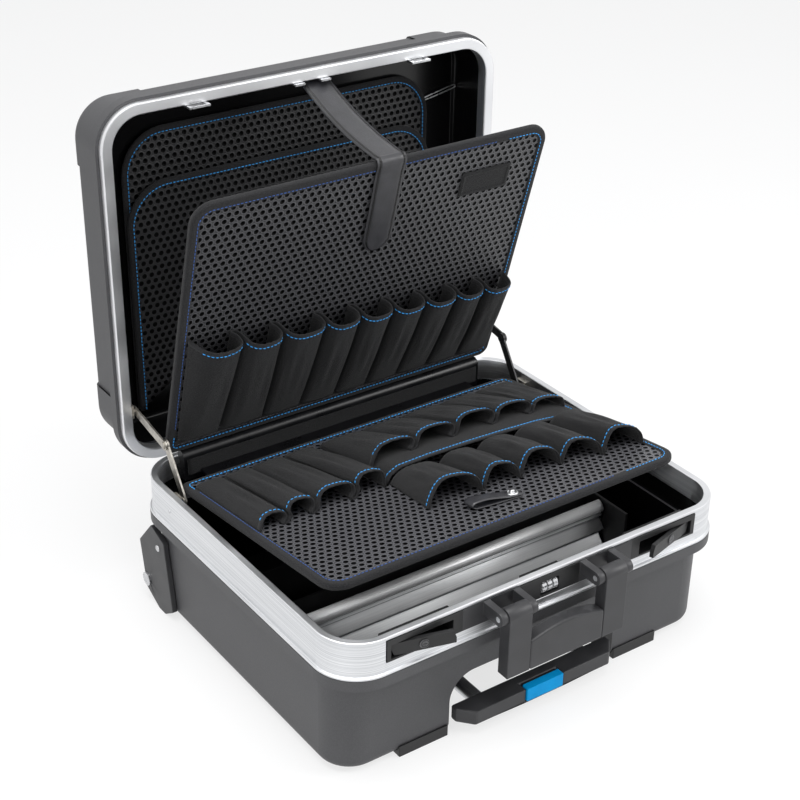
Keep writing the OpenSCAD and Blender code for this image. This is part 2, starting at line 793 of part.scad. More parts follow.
// Bound edge all round the board, with a thick piping along the hinge line
module binding(half, len) {
    translate([0, 0, -binding_t / 2]) linear_extrude(binding_t) difference() {
        pallet_2d(half, len, pallet_r, 0);
        pallet_2d(half - binding_w, len - binding_w, pallet_r - binding_w, binding_w);
    }
    bar_x(-half + piping_end, half - piping_end, 0, 0, piping_r);
}

// One tool pocket open towards +y, its back left to the board
module pocket(w, len, t) difference() {
    cube([w, len, t]);
    translate([cloth_t, cloth_t, -cut]) cube([w - 2 * cloth_t, len, t - cloth_t + cut]);
}

// What stands on the front of a board
module on_board() translate([0, 0, board_t / 2 + fit]) children();

module upper_panel() on_upper() color(plastic_black) board(upper_half, upper_len);
module upper_binding() on_upper() color(cloth_black) binding(upper_half, upper_len);

upper_row_half = upper_half - binding_w - 6;
upper_pitch = 2 * upper_row_half / upper_pockets_n;
upper_seam = 17;

module upper_pockets() on_upper() on_board() color(cloth_black) for (i = [0:upper_pockets_n - 1])
    translate([-upper_row_half + i * upper_pitch, upper_seam, 0])
        pocket(upper_pitch - 1, upper_hem - upper_seam - hem_fall * i / upper_pockets_n, upper_pocket_t);

tab_l = 115;
tab_start = upper_len - tab_l;

// End of the strap, folded over the pallet's top edge and down its front
module strap_tab() on_upper() color(plastic_black) {
    translate([strap_x - strap_w / 2, tab_start, binding_t / 2 + fit])
        cube([strap_w, upper_len - tab_start + fit + strap_t, strap_t]);
    translate([strap_x - strap_w / 2, upper_len + fit, -binding_t / 2])
        cube([strap_w, strap_t, binding_t + fit + strap_t]);
}

patch_size = [65, 30, 1];
patch_side = 43;
patch_top = 40;

module hook_patch() on_upper() on_board() color(plastic_black)
    translate([upper_half - patch_side - patch_size.x, upper_len - patch_top - patch_size.y, 0])
        cube(patch_size);

// ---------------------------------------------------------------- lower pallet

// What stands on the lower board's top
module on_lower_top() on_lower() mirror([0, 0, 1]) on_board() children();

module lower_panel() on_lower() color(plastic_black) board(lower_half, lower_len);
module lower_binding() on_lower() color(cloth_black) binding(lower_half, lower_len);

lower_row_half = lower_half - binding_w - 4;
row_seam = 18;
left_hem = 150;
rear_hem = 122;
front_seam = 152;
front_hem = lower_len - 62;
left_edge = -46;
snap_x = 28;
snap_y = lower_len - 42;
snap_r = 6;
snap_h = 4;
pull_len = 50;
pull_w = 12;

// Row of equal pockets between two x, from a seam to a hem
module lower_row(x0, x1, n, y0, y1) for (i = [0:n - 1])
    translate([x0 + i * (x1 - x0) / n, y0, 0]) pocket((x1 - x0) / n - 1, y1 - y0, lower_pocket_t);

module lower_pockets_left() on_lower_top() color(cloth_black)
    lower_row(-lower_row_half, left_edge - 1, 4, row_seam, left_hem);
module lower_pockets_rear() on_lower_top() color(cloth_black)
    lower_row(left_edge, lower_row_half, 5, row_seam, rear_hem);
module lower_pockets_front() on_lower_top() color(cloth_black)
    lower_row(left_edge, lower_row_half, 5, front_seam, front_hem);

module pull_tab() on_lower_top() color(plastic_black) {
    translate([snap_x - pull_len, snap_y - pull_w / 2, 0]) cube([pull_len, pull_w, snap_h / 2]);
    translate([snap_x, snap_y, 0]) cylinder(h = snap_h, r = snap_r);
}

// ---------------------------------------------------------------- latches and lock

// Lever lying flush in its plate, on the right side
module latch_lever() difference() {
    union() {
        translate([0, plate_face + latch_t, 0]) rotate([90, 0, 0]) linear_extrude(latch_t)
            polygon([[latch_inner_x, latch_lo], [latch_outer_x - latch_play, latch_lo],
                [latch_outer_x, latch_lo + latch_cant], [latch_outer_x, latch_hi],
                [latch_inner_x + latch_play, latch_hi], [latch_inner_x, latch_hi - latch_cant]]);
        translate([latch_pivot_x, latch_pivot_y, latch_lo + 1])
            cylinder(h = latch_hi - latch_lo - 2, r = latch_barrel_r);
    }
    translate([latch_pivot_x, latch_pivot_y, latch_lo - cut]) cylinder(h = band_h, r = latch_pin_r + fit);
    bar_y(plate_face - cut, plate_face + latch_t + cut, key_x, lock_z, key_r + fit / 2);
}

module key_cylinder() bar_y(plate_face - key_out, plate_face + latch_t, key_x, lock_z, key_r);

// Turns what is drawn flush to the open lever on the right side
module lever_open() translate([latch_pivot_x, latch_pivot_y, 0]) rotate([0, 0, latch_open])
    translate([-latch_pivot_x, -latch_pivot_y, 0]) children();

module latch_lever_left() place() color(plastic_black) mirror([1, 0, 0]) lever_open() latch_lever();
module latch_lever_right() place() color(plastic_black) lever_open() latch_lever();
module key_cylinder_left() place() color(steel) mirror([1, 0, 0]) lever_open() key_cylinder();
module key_cylinder_right() place() color(steel) lever_open() key_cylinder();

module digit_wheel(i) place() color("white") difference() {
    bar_x(i * digit_pitch - digit_w / 2, i * digit_pitch + digit_w / 2, digit_y, lock_z, digit_r);
    bar_x(i * digit_pitch - digit_w, i * digit_pitch + digit_w, digit_y, lock_z, digit_pin_r + fit);
}

module digit_wheel_1() digit_wheel(-1);
module digit_wheel_2() digit_wheel(0);
module digit_wheel_3() digit_wheel(1);

// ---------------------------------------------------------------- carry handle

module handle_arm() difference() {
    union() {
        bar_x(arm_x - arm_w / 2, arm_x + arm_w / 2, handle_y, handle_z, barrel_r);
        block([arm_x - arm_w / 2, handle_y - barrel_r, handle_z - handle_drop],
            [arm_x + arm_w / 2, handle_y - barrel_r + arm_t, handle_z]);
    }
    bar_x(arm_x - arm_w, arm_x + arm_w, handle_y, handle_z, handle_pin_r + fit);
}

module handle_arm_left() place() color(plastic_black) mirror([1, 0, 0]) handle_arm();
module handle_arm_right() place() color(plastic_black) handle_arm();

// Grip between the arms, arched along its top
module handle_grip() place() color(plastic_black) {
    half = arm_x - arm_w / 2;
    low = handle_z - handle_drop;
    translate([0, handle_y - barrel_r + arm_t, 0]) rotate([90, 0, 0]) linear_extrude(arm_t)
        polygon(concat([[half, low], [-half, low]],
            [for (i = [0:grip_steps])
                [half * (2 * i / grip_steps - 1),
                    low + grip_side + grip_crown * sin(180 * i / grip_steps)]]));
}

// ---------------------------------------------------------------- trolley and wheels

module wheel() difference() {
    bar_x(-well_in - 2 - wheel_w, -well_in - 2, wheel_y, wheel_z, wheel_r);
    bar_x(-half_w, 0, wheel_y, wheel_z, axle_r + fit);
    bar_x(-half_w, -well_in + 1 - wheel_w, wheel_y, wheel_z, wheel_r * 0.6);
}

module wheel_left() place() color(plastic_black) wheel();
module wheel_right() place() color(plastic_black) mirror([1, 0, 0]) wheel();

module trolley_mid_tubes() place() color(alu) tube_pair(bay_back - tube_lap - 2, tube_len - 6, mid_r,
    mid_r - tube_t);

module trolley_inner_tubes() place() color(alu) both_sides()
    bar_y(grip_back, tube_rear - 14, tube_x, tube_z, inner_r);

// Outline of the trolley grip seen from above
module grip_2d() polygon([[-grip_half, grip_front], [grip_half, grip_front],
    [grip_half + 14, grip_front + 16], [grip_half + 14, grip_back], [-grip_half - 14, grip_back],
    [-grip_half - 14, grip_front + 16]]);

module trolley_grip() place() color(plastic_black) difference() {
    translate([0, 0, tube_z - grip_h / 2]) linear_extrude(grip_h) grip_2d();
    block([-button_half, grip_front - cut, tube_z - grip_h / 2 + 2],
        [button_half, grip_front + 8 + button_travel, tube_z + grip_h]);
}

module trolley_button() place() color(blue)
    block([-button_half + 4 * fit, grip_front - 1.5, tube_z - grip_h / 2 + 2 + 4 * fit],
        [button_half - 4 * fit, grip_front + 7.5, tube_z + grip_h / 2 + 1]);

// ---------------------------------------------------------------- stays

// Flat link from a to b in the YZ plane at x on the right side, with a rivet head at b
module link(a, b, x, head_x) {
    run = b - a;
    difference() {
        union() {
            translate([x, a.x, a.y]) rotate([atan2(run.y, run.x), 0, 0])
                translate([0, 0, -link_w / 2]) cube([link_t, norm(run), link_w]);
            bar_x(x, x + link_t, a.x, a.y, link_w / 2);
            bar_x(x, x + link_t, b.x, b.y, link_w / 2 + 1);
        }
        bar_x(x - cut, x + link_t + cut, a.x, a.y, stay_pin_r + fit);
    }
    bar_x(head_x, head_x + 1, b.x, b.y, 2 * stay_pin_r);
}

outer_x = stay_x + link_t + link_gap;
module stay_lower() link(stay_base, stay_elbow, stay_x, stay_x - 1);
module stay_upper() link(stay_lid, stay_elbow, outer_x, outer_x + link_t);
module stay_lower_left() place() color(steel) mirror([1, 0, 0]) stay_lower();
module stay_lower_right() place() color(steel) stay_lower();
module stay_upper_left() place() color(steel) mirror([1, 0, 0]) stay_upper();
module stay_upper_right() place() color(steel) stay_upper();

// ---------------------------------------------------------------- drawing

base_shell();
base_rim();
latch_plate_left();
latch_plate_right();
handle_bracket_left();
handle_bracket_right();
lock_plate();
handle_pins();
front_feet();
wheel_housing_left();
wheel_housing_right();
wheel_axles();
trolley_outer_tubes();
tube_saddles();
floor_plate();
divider_rail();
divider_boards();
pallet_carrier();
hinge_base_leaves();
hinge_pins();
stay_base_brackets();
lid_shell();
lid_rim();
hinge_lid_leaves();
catch_loops();
document_pocket_rear();
document_pocket_front();
stay_lid_brackets();
retaining_strap();
upper_panel();
upper_binding();
upper_pockets();
strap_tab();
hook_patch();
lower_panel();
lower_binding();
lower_pockets_left();
lower_pockets_rear();
lower_pockets_front();
pull_tab();
latch_lever_left();
latch_lever_right();
key_cylinder_left();
key_cylinder_right();
handle_arm_left();
handle_arm_right();
handle_grip();
digit_wheel_1();
digit_wheel_2();
digit_wheel_3();
wheel_left();
wheel_right();
trolley_mid_tubes();
trolley_inner_tubes();
trolley_grip();
trolley_button();
stay_lower_left();
stay_lower_right();
stay_upper_left();
stay_upper_right();
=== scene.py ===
"""Hard tool case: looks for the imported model, in its own frame and in metres."""

from functools import partial
from math import cos, pi, radians, sin, sqrt

import bmesh
import bpy
import numpy as np
from mathutils import Matrix, Vector


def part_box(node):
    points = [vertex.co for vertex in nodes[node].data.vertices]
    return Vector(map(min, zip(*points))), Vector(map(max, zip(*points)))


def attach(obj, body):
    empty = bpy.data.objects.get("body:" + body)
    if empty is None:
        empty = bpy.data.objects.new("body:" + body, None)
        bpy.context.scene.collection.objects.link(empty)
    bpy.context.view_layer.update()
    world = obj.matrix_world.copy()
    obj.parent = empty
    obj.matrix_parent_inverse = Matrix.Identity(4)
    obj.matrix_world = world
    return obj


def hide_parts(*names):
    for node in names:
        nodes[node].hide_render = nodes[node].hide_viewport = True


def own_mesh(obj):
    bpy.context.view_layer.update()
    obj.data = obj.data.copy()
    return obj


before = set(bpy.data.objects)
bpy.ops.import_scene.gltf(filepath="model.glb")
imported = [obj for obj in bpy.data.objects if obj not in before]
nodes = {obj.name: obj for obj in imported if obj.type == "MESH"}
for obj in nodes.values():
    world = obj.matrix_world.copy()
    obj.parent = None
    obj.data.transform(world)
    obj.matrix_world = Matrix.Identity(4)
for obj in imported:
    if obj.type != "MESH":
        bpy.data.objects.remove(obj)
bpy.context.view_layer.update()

MM = 0.001

# ------------------------------------------------------------------ places
# The case's own frame has y = 0 at the back of its rims; the row frame is shifted along y.
RIM_FLARE = 3 * MM
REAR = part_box("base_rim")[1][1] - RIM_FLARE

# Pallets: pivot (y, z) in the case's frame, tilt in degrees, half width and length, in mm
UPPER_PIVOT, UPPER_TILT, UPPER_HALF, UPPER_LEN = (-18, 182), 106, 218, 326
LOWER_PIVOT, LOWER_TILT, LOWER_HALF, LOWER_LEN = (-56, 158), 172.8, 222, 298
# Their board's thickness and face, corner radii, and how far the board reaches past the pivot
BOARD_T = 5
BOARD_FACE = BOARD_T / 2
PALLET_R, PALLET_FOOT_R = 24, 12
PALLET_FOOT = -3.4
# Edge tape: width, thickness at the pallet's foot and above it, the zone where that changes,
# how far its seam is from the edge, and the x where its right side begins
EDGE_W, EDGE_FOOT_T, EDGE_T = 11.0, BOARD_T + 1.0, BOARD_T + 2.8
EDGE_FOOT, EDGE_SEAM, EDGE_RIGHT = (13, 30), 7.6, 150
# Retaining strap: its place across, width, thickness, and how far its seams are from its edges
STRAP_X, STRAP_W, STRAP_T, STRAP_INSET = 10, 36, 2.8, 3.5
# Back of the open lid; the divider rail's place and ends; where the base's ribbed front starts
LID_BACK = 89.2
RAIL_Y, RAIL_ENDS = -272.0, (-230, 188.0)
RIBBED_Y = -380
# Patterns: the base's ribs, and the pits of the embossed sheets
RIB_PITCH, PIT_PITCH = 2.6 * MM, 8.6 * MM


def case_point(x, y, z):
    """A point of the case's frame, in millimetres, as metres in the row frame."""
    return np.stack([x * MM, y * MM + REAR, z * MM], -1)


def upper_point(x, s, h):
    """Upper pallet: x across, s up the board from the hinge, h out from its middle plane, mm."""
    t = radians(UPPER_TILT)
    x, s, h = np.broadcast_arrays(*map(np.asarray, (x, s, h)))
    return case_point(x * 1.0, UPPER_PIVOT[0] + s * cos(t) - h * sin(t),
                      UPPER_PIVOT[1] + s * sin(t) + h * cos(t))


def lower_point(x, s, h):
    """Lower pallet: x across, s forward along the board from the hinge, h up from it, mm."""
    t = radians(LOWER_TILT)
    x, s, h = np.broadcast_arrays(*map(np.asarray, (x, s, h)))
    return case_point(x * 1.0, LOWER_PIVOT[0] + s * cos(t) + h * sin(t),
                      LOWER_PIVOT[1] + s * sin(t) - h * cos(t))


# ------------------------------------------------------------------ shader helpers
def srgb(code):
    """A hex colour as it looks on screen, in Blender's linear values."""
    parts = [int(code[i:i + 2], 16) / 255 for i in (0, 2, 4)]
    linear = [p / 12.92 if p <= 0.04045 else ((p + 0.055) / 1.055) ** 2.4 for p in parts]
    return (*linear, 1.0)


def connect(node, inputs):
    """Sets sockets, by name or number, to a value, a hex colour or another node's output."""
    for name, value in inputs.items():
        if isinstance(value, bpy.types.NodeSocket):
            node.id_data.links.new(value, node.inputs[name])
        else:
            node.inputs[name].default_value = srgb(value) if isinstance(value, str) else value


def add(tree, kind, inputs=None, out=0, **props):
    """Adds one node with its settings and links; returns one of its outputs, if it has any."""
    node = tree.nodes.new("ShaderNode" + kind)
    for name, value in props.items():
        setattr(node, name, value)
    connect(node, inputs or {})
    return node.outputs[out] if len(node.outputs) else None


def new_material(name):
    """An empty node material; returns it, its shader and the function that adds its nodes."""
    material = bpy.data.materials.new(name)
    material.use_nodes = True
    material.node_tree.nodes.clear()
    node = partial(add, material.node_tree)
    surface = node("BsdfPrincipled")
    node("OutputMaterial", {"Surface": surface})
    return material, surface.node, node


# Settings of a Mix node that blends colours, and of a Map Range node with soft ends
COLOUR = {"out": 2, "data_type": "RGBA"}
SOFT = {"interpolation_type": "SMOOTHSTEP"}


def mottle(node, pattern, dark, light, low=0.3, high=0.7, most=1.0):
    """Colour from dark to light as a pattern goes from low to high, by a share most at most."""
    share = node("MapRange", {0: pattern, 1: low, 2: high, 4: most})
    return node("Mix", {0: share, 6: dark, 7: light}, **COLOUR)


# ------------------------------------------------------------------ materials
# Sizes are in mm. Moulded grain, scuffs and drawn lines are too fine to show, so they are drawn
# 0.7 to 1.6 mm apart instead of about 0.1 mm.
def shell_plastic(name, shell, ribs=False):
    """Moulded ABS: outside spark-eroded, so a grained dull grey; inside polished, a glossy black.

    A point is inside where its face looks towards the shell's middle. Where the lining stands, at
    the front, the inside has fine ribs across x, coloured grey on their crests and near-black in
    their troughs: painted shade between the ribs.
    """
    material, shader, node = new_material(name)
    coord = node("TexCoord").node
    place = coord.outputs["Object"]
    middle = tuple(np.mean(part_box(shell), axis=0))
    out = node("VectorMath", {0: place, 1: middle}, operation="SUBTRACT")
    along = node("VectorMath", {0: out, 1: coord.outputs["Normal"]}, out="Value",
                 operation="DOT_PRODUCT")
    inside = node("Math", {0: along, 1: 0.0}, operation="LESS_THAN")
    cloud = node("TexNoise", {"Vector": place, "Scale": 1 / (80 * MM), "Detail": 3.0})
    grain = node("TexNoise", {"Vector": place, "Scale": 1 / (1.1 * MM), "Roughness": 0.6})
    outer = mottle(node, grain, mottle(node, cloud, "3d3d3f", "454547"), "5b5b5d", 0.38, 0.7, 0.3)
    inner, relief = mottle(node, cloud, "070708", "0d0d0e"), 0.5
    if ribs:
        x, y, _ = node("SeparateXYZ", {0: place}).node.outputs
        turn = node("Math", {0: x, 1: 2 * pi / RIB_PITCH}, operation="MULTIPLY")
        wave = node("MapRange", {0: node("Math", {0: turn}, operation="SINE"), 1: -1.0})
        front = node("Math", {0: y, 1: REAR + RIBBED_Y * MM}, operation="LESS_THAN")
        relief = node("Math", {0: wave, 1: front}, operation="MULTIPLY")
        # Painted shade: the colour follows the ribs, grey on the crests and near-black in the
        # troughs.
        inner = node("Mix", {0: relief, 6: inner, 7: "5a5a5c"}, **COLOUR)
    height = node("MapRange", {0: inside, 3: grain, 4: relief})
    rough = node("MapRange", {0: cloud, 1: 0.3, 2: 0.7, 3: 0.44, 4: 0.52})
    connect(shader, {"Base Color": node("Mix", {0: inside, 6: outer, 7: inner}, **COLOUR),
                     "Roughness": node("MapRange", {0: inside, 3: rough, 4: 0.24}),
                     "Specular IOR Level": 0.4,
                     "Normal": node("Bump", {"Height": height, "Distance": 0.12 * MM})})
    return material


def satin_aluminium(name, across, low="c4c6c9", tone="e9eaec", rough=0.34, metal=1.0, painted_bands=()):
    """Anodised extrusion: satin metal with fine drawn lines.

    across is how many lines a metre has along x, y and z. The last argument gives (height,
    tone) pairs that paint highlights on the section's lands and shade in its grooves.
    """
    material, shader, node = new_material(name)
    place = node("TexCoord", out="Object")
    drawn = node("VectorMath", {0: place, 1: across}, operation="MULTIPLY")
    lines = node("TexNoise", {"Vector": drawn, "Scale": 1.0})
    cloud = node("TexNoise", {"Vector": place, "Scale": 1 / (50 * MM)})
    shade = mottle(node, lines, low, tone)
    # Painted light: tones by height brighten the lands as highlights and darken the grooves as
    # shade.
    if painted_bands:
        foot, top = painted_bands[0][0], painted_bands[-1][0]
        height = node("SeparateXYZ", {0: place}, out=2)
        band = node("ValToRGB", {0: node("MapRange", {0: height, 1: foot * MM, 2: top * MM})})
        stops = band.node.color_ramp.elements
        for k, (level, code) in enumerate(painted_bands):
            spot = (level - foot) / (top - foot)
            stop = stops.new(spot) if k else stops[0]
            stop.position, stop.color = spot, srgb(code)
        stops.remove(stops[-1])
        shade = node("Mix", {0: 1.0, 6: band, 7: shade}, **COLOUR, blend_type="MULTIPLY")
    gloss = node("MapRange", {0: cloud, 1: 0.3, 2: 0.7, 3: rough - 0.04, 4: rough + 0.06})
    dull = node("Math", {0: gloss, 1: 0.08}, operation="ADD")
    connect(shader, {"Base Color": shade, "Metallic": metal,
                     "Roughness": node("MapRange", {0: lines, 1: 0.2, 2: 0.8, 3: gloss, 4: dull}),
                     "Normal": node("Bump", {"Height": lines, "Distance": 0.03 * MM})})
    return material


def moulded_plastic(name, tone, light, rough, grain_size=0.9, depth=0.06, shine=0.42):
    """Moulded hardware: spark-eroded grain gives an even dull gloss, a little rubbed in places."""
    material, shader, node = new_material(name)
    place = node("TexCoord", out="Object")
    cloud = node("TexNoise", {"Vector": place, "Scale": 1 / (20 * MM), "Detail": 3.0})
    grain = node("TexNoise", {"Vector": place, "Scale": 1 / (grain_size * MM), "Roughness": 0.6})
    gloss = node("MapRange", {0: cloud, 1: 0.25, 2: 0.75, 3: rough - 0.05, 4: rough + 0.07})
    connect(shader, {"Base Color": mottle(node, cloud, tone, light, 0.3, 0.75), "Roughness": gloss,
                     "Specular IOR Level": shine,
                     "Normal": node("Bump", {"Height": grain, "Distance": depth * MM})})
    return material


def plated_steel(name, low, tone, rough):
    """Zinc-plated steel: cloudy gloss and faint scuffs."""
    material, shader, node = new_material(name)
    place = node("TexCoord", out="Object")
    cloud = node("TexNoise", {"Vector": place, "Scale": 1 / (6 * MM), "Detail": 4.0,
                              "Roughness": 0.6})
    scuff = node("TexNoise", {"Vector": place, "Scale": 1 / (0.7 * MM)})
    gloss = node("MapRange", {0: cloud, 1: 0.3, 2: 0.7, 3: rough - 0.05, 4: rough + 0.12})
    connect(shader, {"Base Color": mottle(node, cloud, low, tone), "Metallic": 1.0,
                     "Roughness": gloss,
                     "Normal": node("Bump", {"Height": scuff, "Distance": 0.02 * MM})})
    return material


def woven_cloth(name, tone, light, pitch=0.75, depth=0.22):
    """Woven polyester: crossing threads pitch apart, thicker places in the yarn, soft sheen."""
    material, shader, node = new_material(name)
    place = node("UVMap", uv_map="place")
    turn = 2 * pi / (pitch * MM)
    u, v, _ = node("SeparateXYZ", {0: node("VectorMath", {0: place, 1: (turn, turn, turn)},
                                           operation="MULTIPLY")}).node.outputs
    warp, weft = [node("Math", {0: threads}, operation="SINE") for threads in (u, v)]
    weave = node("MapRange", {0: node("Math", {0: warp, 1: weft}, operation="MULTIPLY"), 1: -1.0})
    yarn = node("VectorMath", {0: place, 1: (1, 5, 1)}, operation="MULTIPLY")
    slub = node("TexNoise", {"Vector": yarn, "Scale": 1 / (4 * MM), "Detail": 3.0,
                             "Roughness": 0.65})
    fuzz_and_glint = node("TexNoise", {"Vector": place, "Scale": 1 / (1.3 * MM), "Roughness": 0.7})
    # Pale specks: partly fibre fluff, partly painted glints of the weave.
    shade = mottle(node, fuzz_and_glint, mottle(node, slub, tone, light, most=0.7), "3f3f41", 0.45, 0.72, 0.6)
    height = node("Math", {0: fuzz_and_glint, 1: 0.6}, operation="MULTIPLY")
    height = node("Math", {0: weave, 1: height}, operation="ADD")
    connect(shader, {"Base Color": shade, "Roughness": 0.85, "Specular IOR Level": 0.18,
                     "Sheen Weight": 0.1, "Sheen Roughness": 0.5,
                     "Normal": node("Bump", {"Height": height, "Distance": depth * MM})})
    return material


def dimpled_sheet(name, tilt, tone, painted_pit_shade, light, rough=0.36):
    """Embossed plastic sheet: dark pits with raised light rims in staggered rows, 8.6 mm apart.

    The pattern lies in a plane tilted about x. A place's distance from the nearest pit's middle,
    on two grids half a cell apart, sets the pit, its rim and their relief. The pits are painted
    near-black as painted shade, and the rims the light tone as a painted highlight.
    """
    material, shader, node = new_material(name)
    coord = node("TexCoord", out="Object")
    flat = node("Mapping", {"Vector": coord, "Rotation": (radians(-tilt), 0, 0)})
    cell = (PIT_PITCH, PIT_PITCH * sqrt(3), 0)
    grid = node("VectorMath", {0: flat, 1: (1 / cell[0], 1 / cell[1], 0)}, operation="MULTIPLY")
    away = []
    for shift in (0.0, 0.5):
        moved = node("VectorMath", {0: grid, 1: (shift, shift, 0)}, operation="ADD")
        part = node("VectorMath", {0: moved}, operation="FRACTION")
        middle = node("VectorMath", {0: part, 1: (0.5, 0.5, 0)}, operation="SUBTRACT")
        real = node("VectorMath", {0: middle, 1: cell}, operation="MULTIPLY")
        away.append(node("VectorMath", {0: real}, out="Value", operation="LENGTH"))
    away = node("Math", {0: away[0], 1: away[1]}, operation="MINIMUM")
    pit = node("MapRange", {0: away, 1: 2.4 * MM, 2: 3.1 * MM, 3: 1.0, 4: 0.0}, **SOFT)
    inner = node("MapRange", {0: away, 1: 2.6 * MM, 2: 3.2 * MM}, **SOFT)
    outer = node("MapRange", {0: away, 1: 3.4 * MM, 2: 4.4 * MM, 3: 1.0, 4: 0.0}, **SOFT)
    rim = node("Math", {0: inner, 1: outer}, operation="MULTIPLY")
    grain = node("TexNoise", {"Vector": coord, "Scale": 1 / (1.2 * MM), "Roughness": 0.6})
    # Painted highlight: the rims take the light tone.
    land = node("Mix", {0: rim, 6: mottle(node, grain, tone, light, 0.35, 0.7, 0.5), 7: light},
                **COLOUR)
    rise = node("MapRange", {0: away, 2: 3.4 * MM}, **SOFT)
    fall = node("MapRange", {0: away, 1: 3.4 * MM, 2: 5.2 * MM, 4: 0.35}, **SOFT)
    height = node("Math", {0: rise, 1: fall}, operation="SUBTRACT")
    relief = node("Bump", {"Height": height, "Distance": 1.3 * MM})
    gloss = node("MapRange", {0: grain, 1: 0.3, 2: 0.7, 3: rough - 0.04, 4: rough + 0.06})
    # Painted shade: the pits take a near-black tone.
    connect(shader, {"Base Color": node("Mix", {0: pit, 6: land, 7: painted_pit_shade}, **COLOUR),
                     "Roughness": gloss,
                     "Specular IOR Level": node("MapRange", {0: pit, 3: 0.55, 4: 0.05}),
                     "Normal": node("Bump", {"Height": grain, "Distance": 0.06 * MM,
                                             "Normal": relief})})
    return material


def leather(name, tone, light, width=0.0):
    """Coated strap: fine creases and satin gloss; with a width, a pressed line inside each edge."""
    material, shader, node = new_material(name)
    place = node("UVMap", uv_map="place")
    crease = node("TexVoronoi", {"Vector": place, "Scale": 1 / (1.1 * MM)}, out="Distance",
                  feature="DISTANCE_TO_EDGE")
    cloud = node("TexNoise", {"Vector": place, "Scale": 1 / (12 * MM), "Detail": 3.0})
    shade = mottle(node, cloud, tone, light)
    relief = node("Bump", {"Height": node("MapRange", {0: crease, 2: 0.25}), "Distance": 0.05 * MM})
    if width:
        across = node("SeparateXYZ", {0: place}, out=1)
        edge = node("Math", {0: across, 1: width / 2}, operation="PINGPONG")
        from_line = node("Math", {0: edge, 1: STRAP_INSET * MM}, operation="SUBTRACT")
        away = node("Math", {0: from_line}, operation="ABSOLUTE")
        line = node("MapRange", {0: away, 1: 0.8 * MM, 2: 1.5 * MM, 3: 1.0, 4: 0.0}, **SOFT)
        # Painted shade: the pressed line is given a near-black tone.
        shade = node("Mix", {0: line, 6: shade, 7: "020202"}, **COLOUR)
        height = node("MapRange", {0: line, 3: 1.0, 4: 0.0})
        relief = node("Bump", {"Height": height, "Distance": 0.6 * MM, "Normal": relief})
    gloss = node("MapRange", {0: cloud, 1: 0.3, 2: 0.7, 3: 0.33, 4: 0.37})
    connect(shader, {"Base Color": shade, "Roughness": gloss, "Specular IOR Level": 0.6,
                     "Normal": relief})
    return material


def sewing_thread(name, tone, light):
    """Spun polyester thread: twist lines and small changes of tone."""
    material, shader, node = new_material(name)
    twist = node("TexNoise", {"Vector": node("TexCoord", out="Object"), "Scale": 1 / (0.4 * MM)})
    connect(shader, {"Base Color": mottle(node, twist, tone, light), "Roughness": 0.6,
                     "Sheen Weight": 0.15,
                     "Normal": node("Bump", {"Height": twist, "Distance": 0.08 * MM})})
    return material


def digit_wheel_enamel(name):
    """Pale enamelled lock wheel: even gloss, worn dark marks 36 degrees apart round its axis."""
    material, shader, node = new_material(name)
    middle = np.mean(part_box("digit_wheel_1"), axis=0)
    place = node("TexCoord", out="Object")
    _, y, z = node("SeparateXYZ", {0: place}).node.outputs
    y = node("Math", {0: y, 1: middle[1]}, operation="SUBTRACT")
    z = node("Math", {0: z, 1: middle[2]}, operation="SUBTRACT")
    angle = node("Math", {0: z, 1: y}, operation="ARCTAN2")
    turn = node("Math", {0: angle, 1: 10 / (2 * pi)}, operation="MULTIPLY")
    step = node("Math", {0: node("Math", {0: turn, 1: 10.0}, operation="ADD")}, operation="FRACT")
    from_mark = node("Math", {0: step, 1: 0.5}, operation="SUBTRACT")
    from_mark = node("Math", {0: from_mark}, operation="ABSOLUTE")
    mark = node("Math", {0: from_mark, 1: 0.22}, operation="LESS_THAN")
    speck = node("TexNoise", {"Vector": place, "Scale": 1 / (0.9 * MM)})
    worn = node("Math", {0: speck, 1: 0.47}, operation="GREATER_THAN")
    mark = node("Math", {0: mark, 1: worn}, operation="MULTIPLY")
    connect(shader, {"Base Color": node("Mix", {0: mark, 6: "c4c5c7", 7: "1a1a1b"}, **COLOUR),
                     "Roughness": 0.35,
                     "Normal": node("Bump", {"Height": speck, "Distance": 0.04 * MM})})
    return material


def lock_cylinder_metal(name):
    """Lock cylinder's face: a dark ring round the plug and a dark key slot, on dull cast metal."""
    material, shader, node = new_material(name)
    low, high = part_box("key_cylinder_right")
    radius = (high[2] - low[2]) / 2
    place = node("TexCoord", out="Object")
    x, _, z = node("SeparateXYZ", {0: place}).node.outputs
    x = node("Math", {0: node("Math", {0: x}, operation="ABSOLUTE"), 1: (low[0] + high[0]) / 2},
             operation="SUBTRACT")
    z = node("Math", {0: z, 1: (low[2] + high[2]) / 2}, operation="SUBTRACT")
    squares = [node("Math", {0: one, 1: 2.0}, operation="POWER") for one in (x, z)]
    away = node("Math", {0: squares[0], 1: squares[1]}, operation="ADD")
    away = node("Math", {0: away}, operation="SQRT")
    from_ring = node("Math", {0: away, 1: 0.72 * radius}, operation="SUBTRACT")
    parts = [node("Math", {0: node("Math", {0: one}, operation="ABSOLUTE"), 1: most * radius},
                  operation="LESS_THAN") for one, most in ((from_ring, 0.09), (z, 0.12), (x, 0.42))]
    # The key slot is not cut but painted near-black: painted shade for its depth. The ring is a
    # dark joint.
    slot = node("Math", {0: parts[1], 1: parts[2]}, operation="MULTIPLY")
    dark = node("Math", {0: parts[0], 1: slot}, operation="MAXIMUM")
    cloud = node("TexNoise", {"Vector": place, "Scale": 1 / (3 * MM), "Detail": 3.0})
    metal = mottle(node, cloud, "48484a", "6a6a6c")
    height = node("MapRange", {0: dark, 3: 1.0, 4: 0.0})
    connect(shader, {"Base Color": node("Mix", {0: dark, 6: metal, 7: "060606"}, **COLOUR),
                     "Metallic": node("MapRange", {0: dark, 3: 0.8, 4: 0.0}), "Roughness": 0.36,
                     "Normal": node("Bump", {"Height": height, "Distance": 0.3 * MM})})
    return material
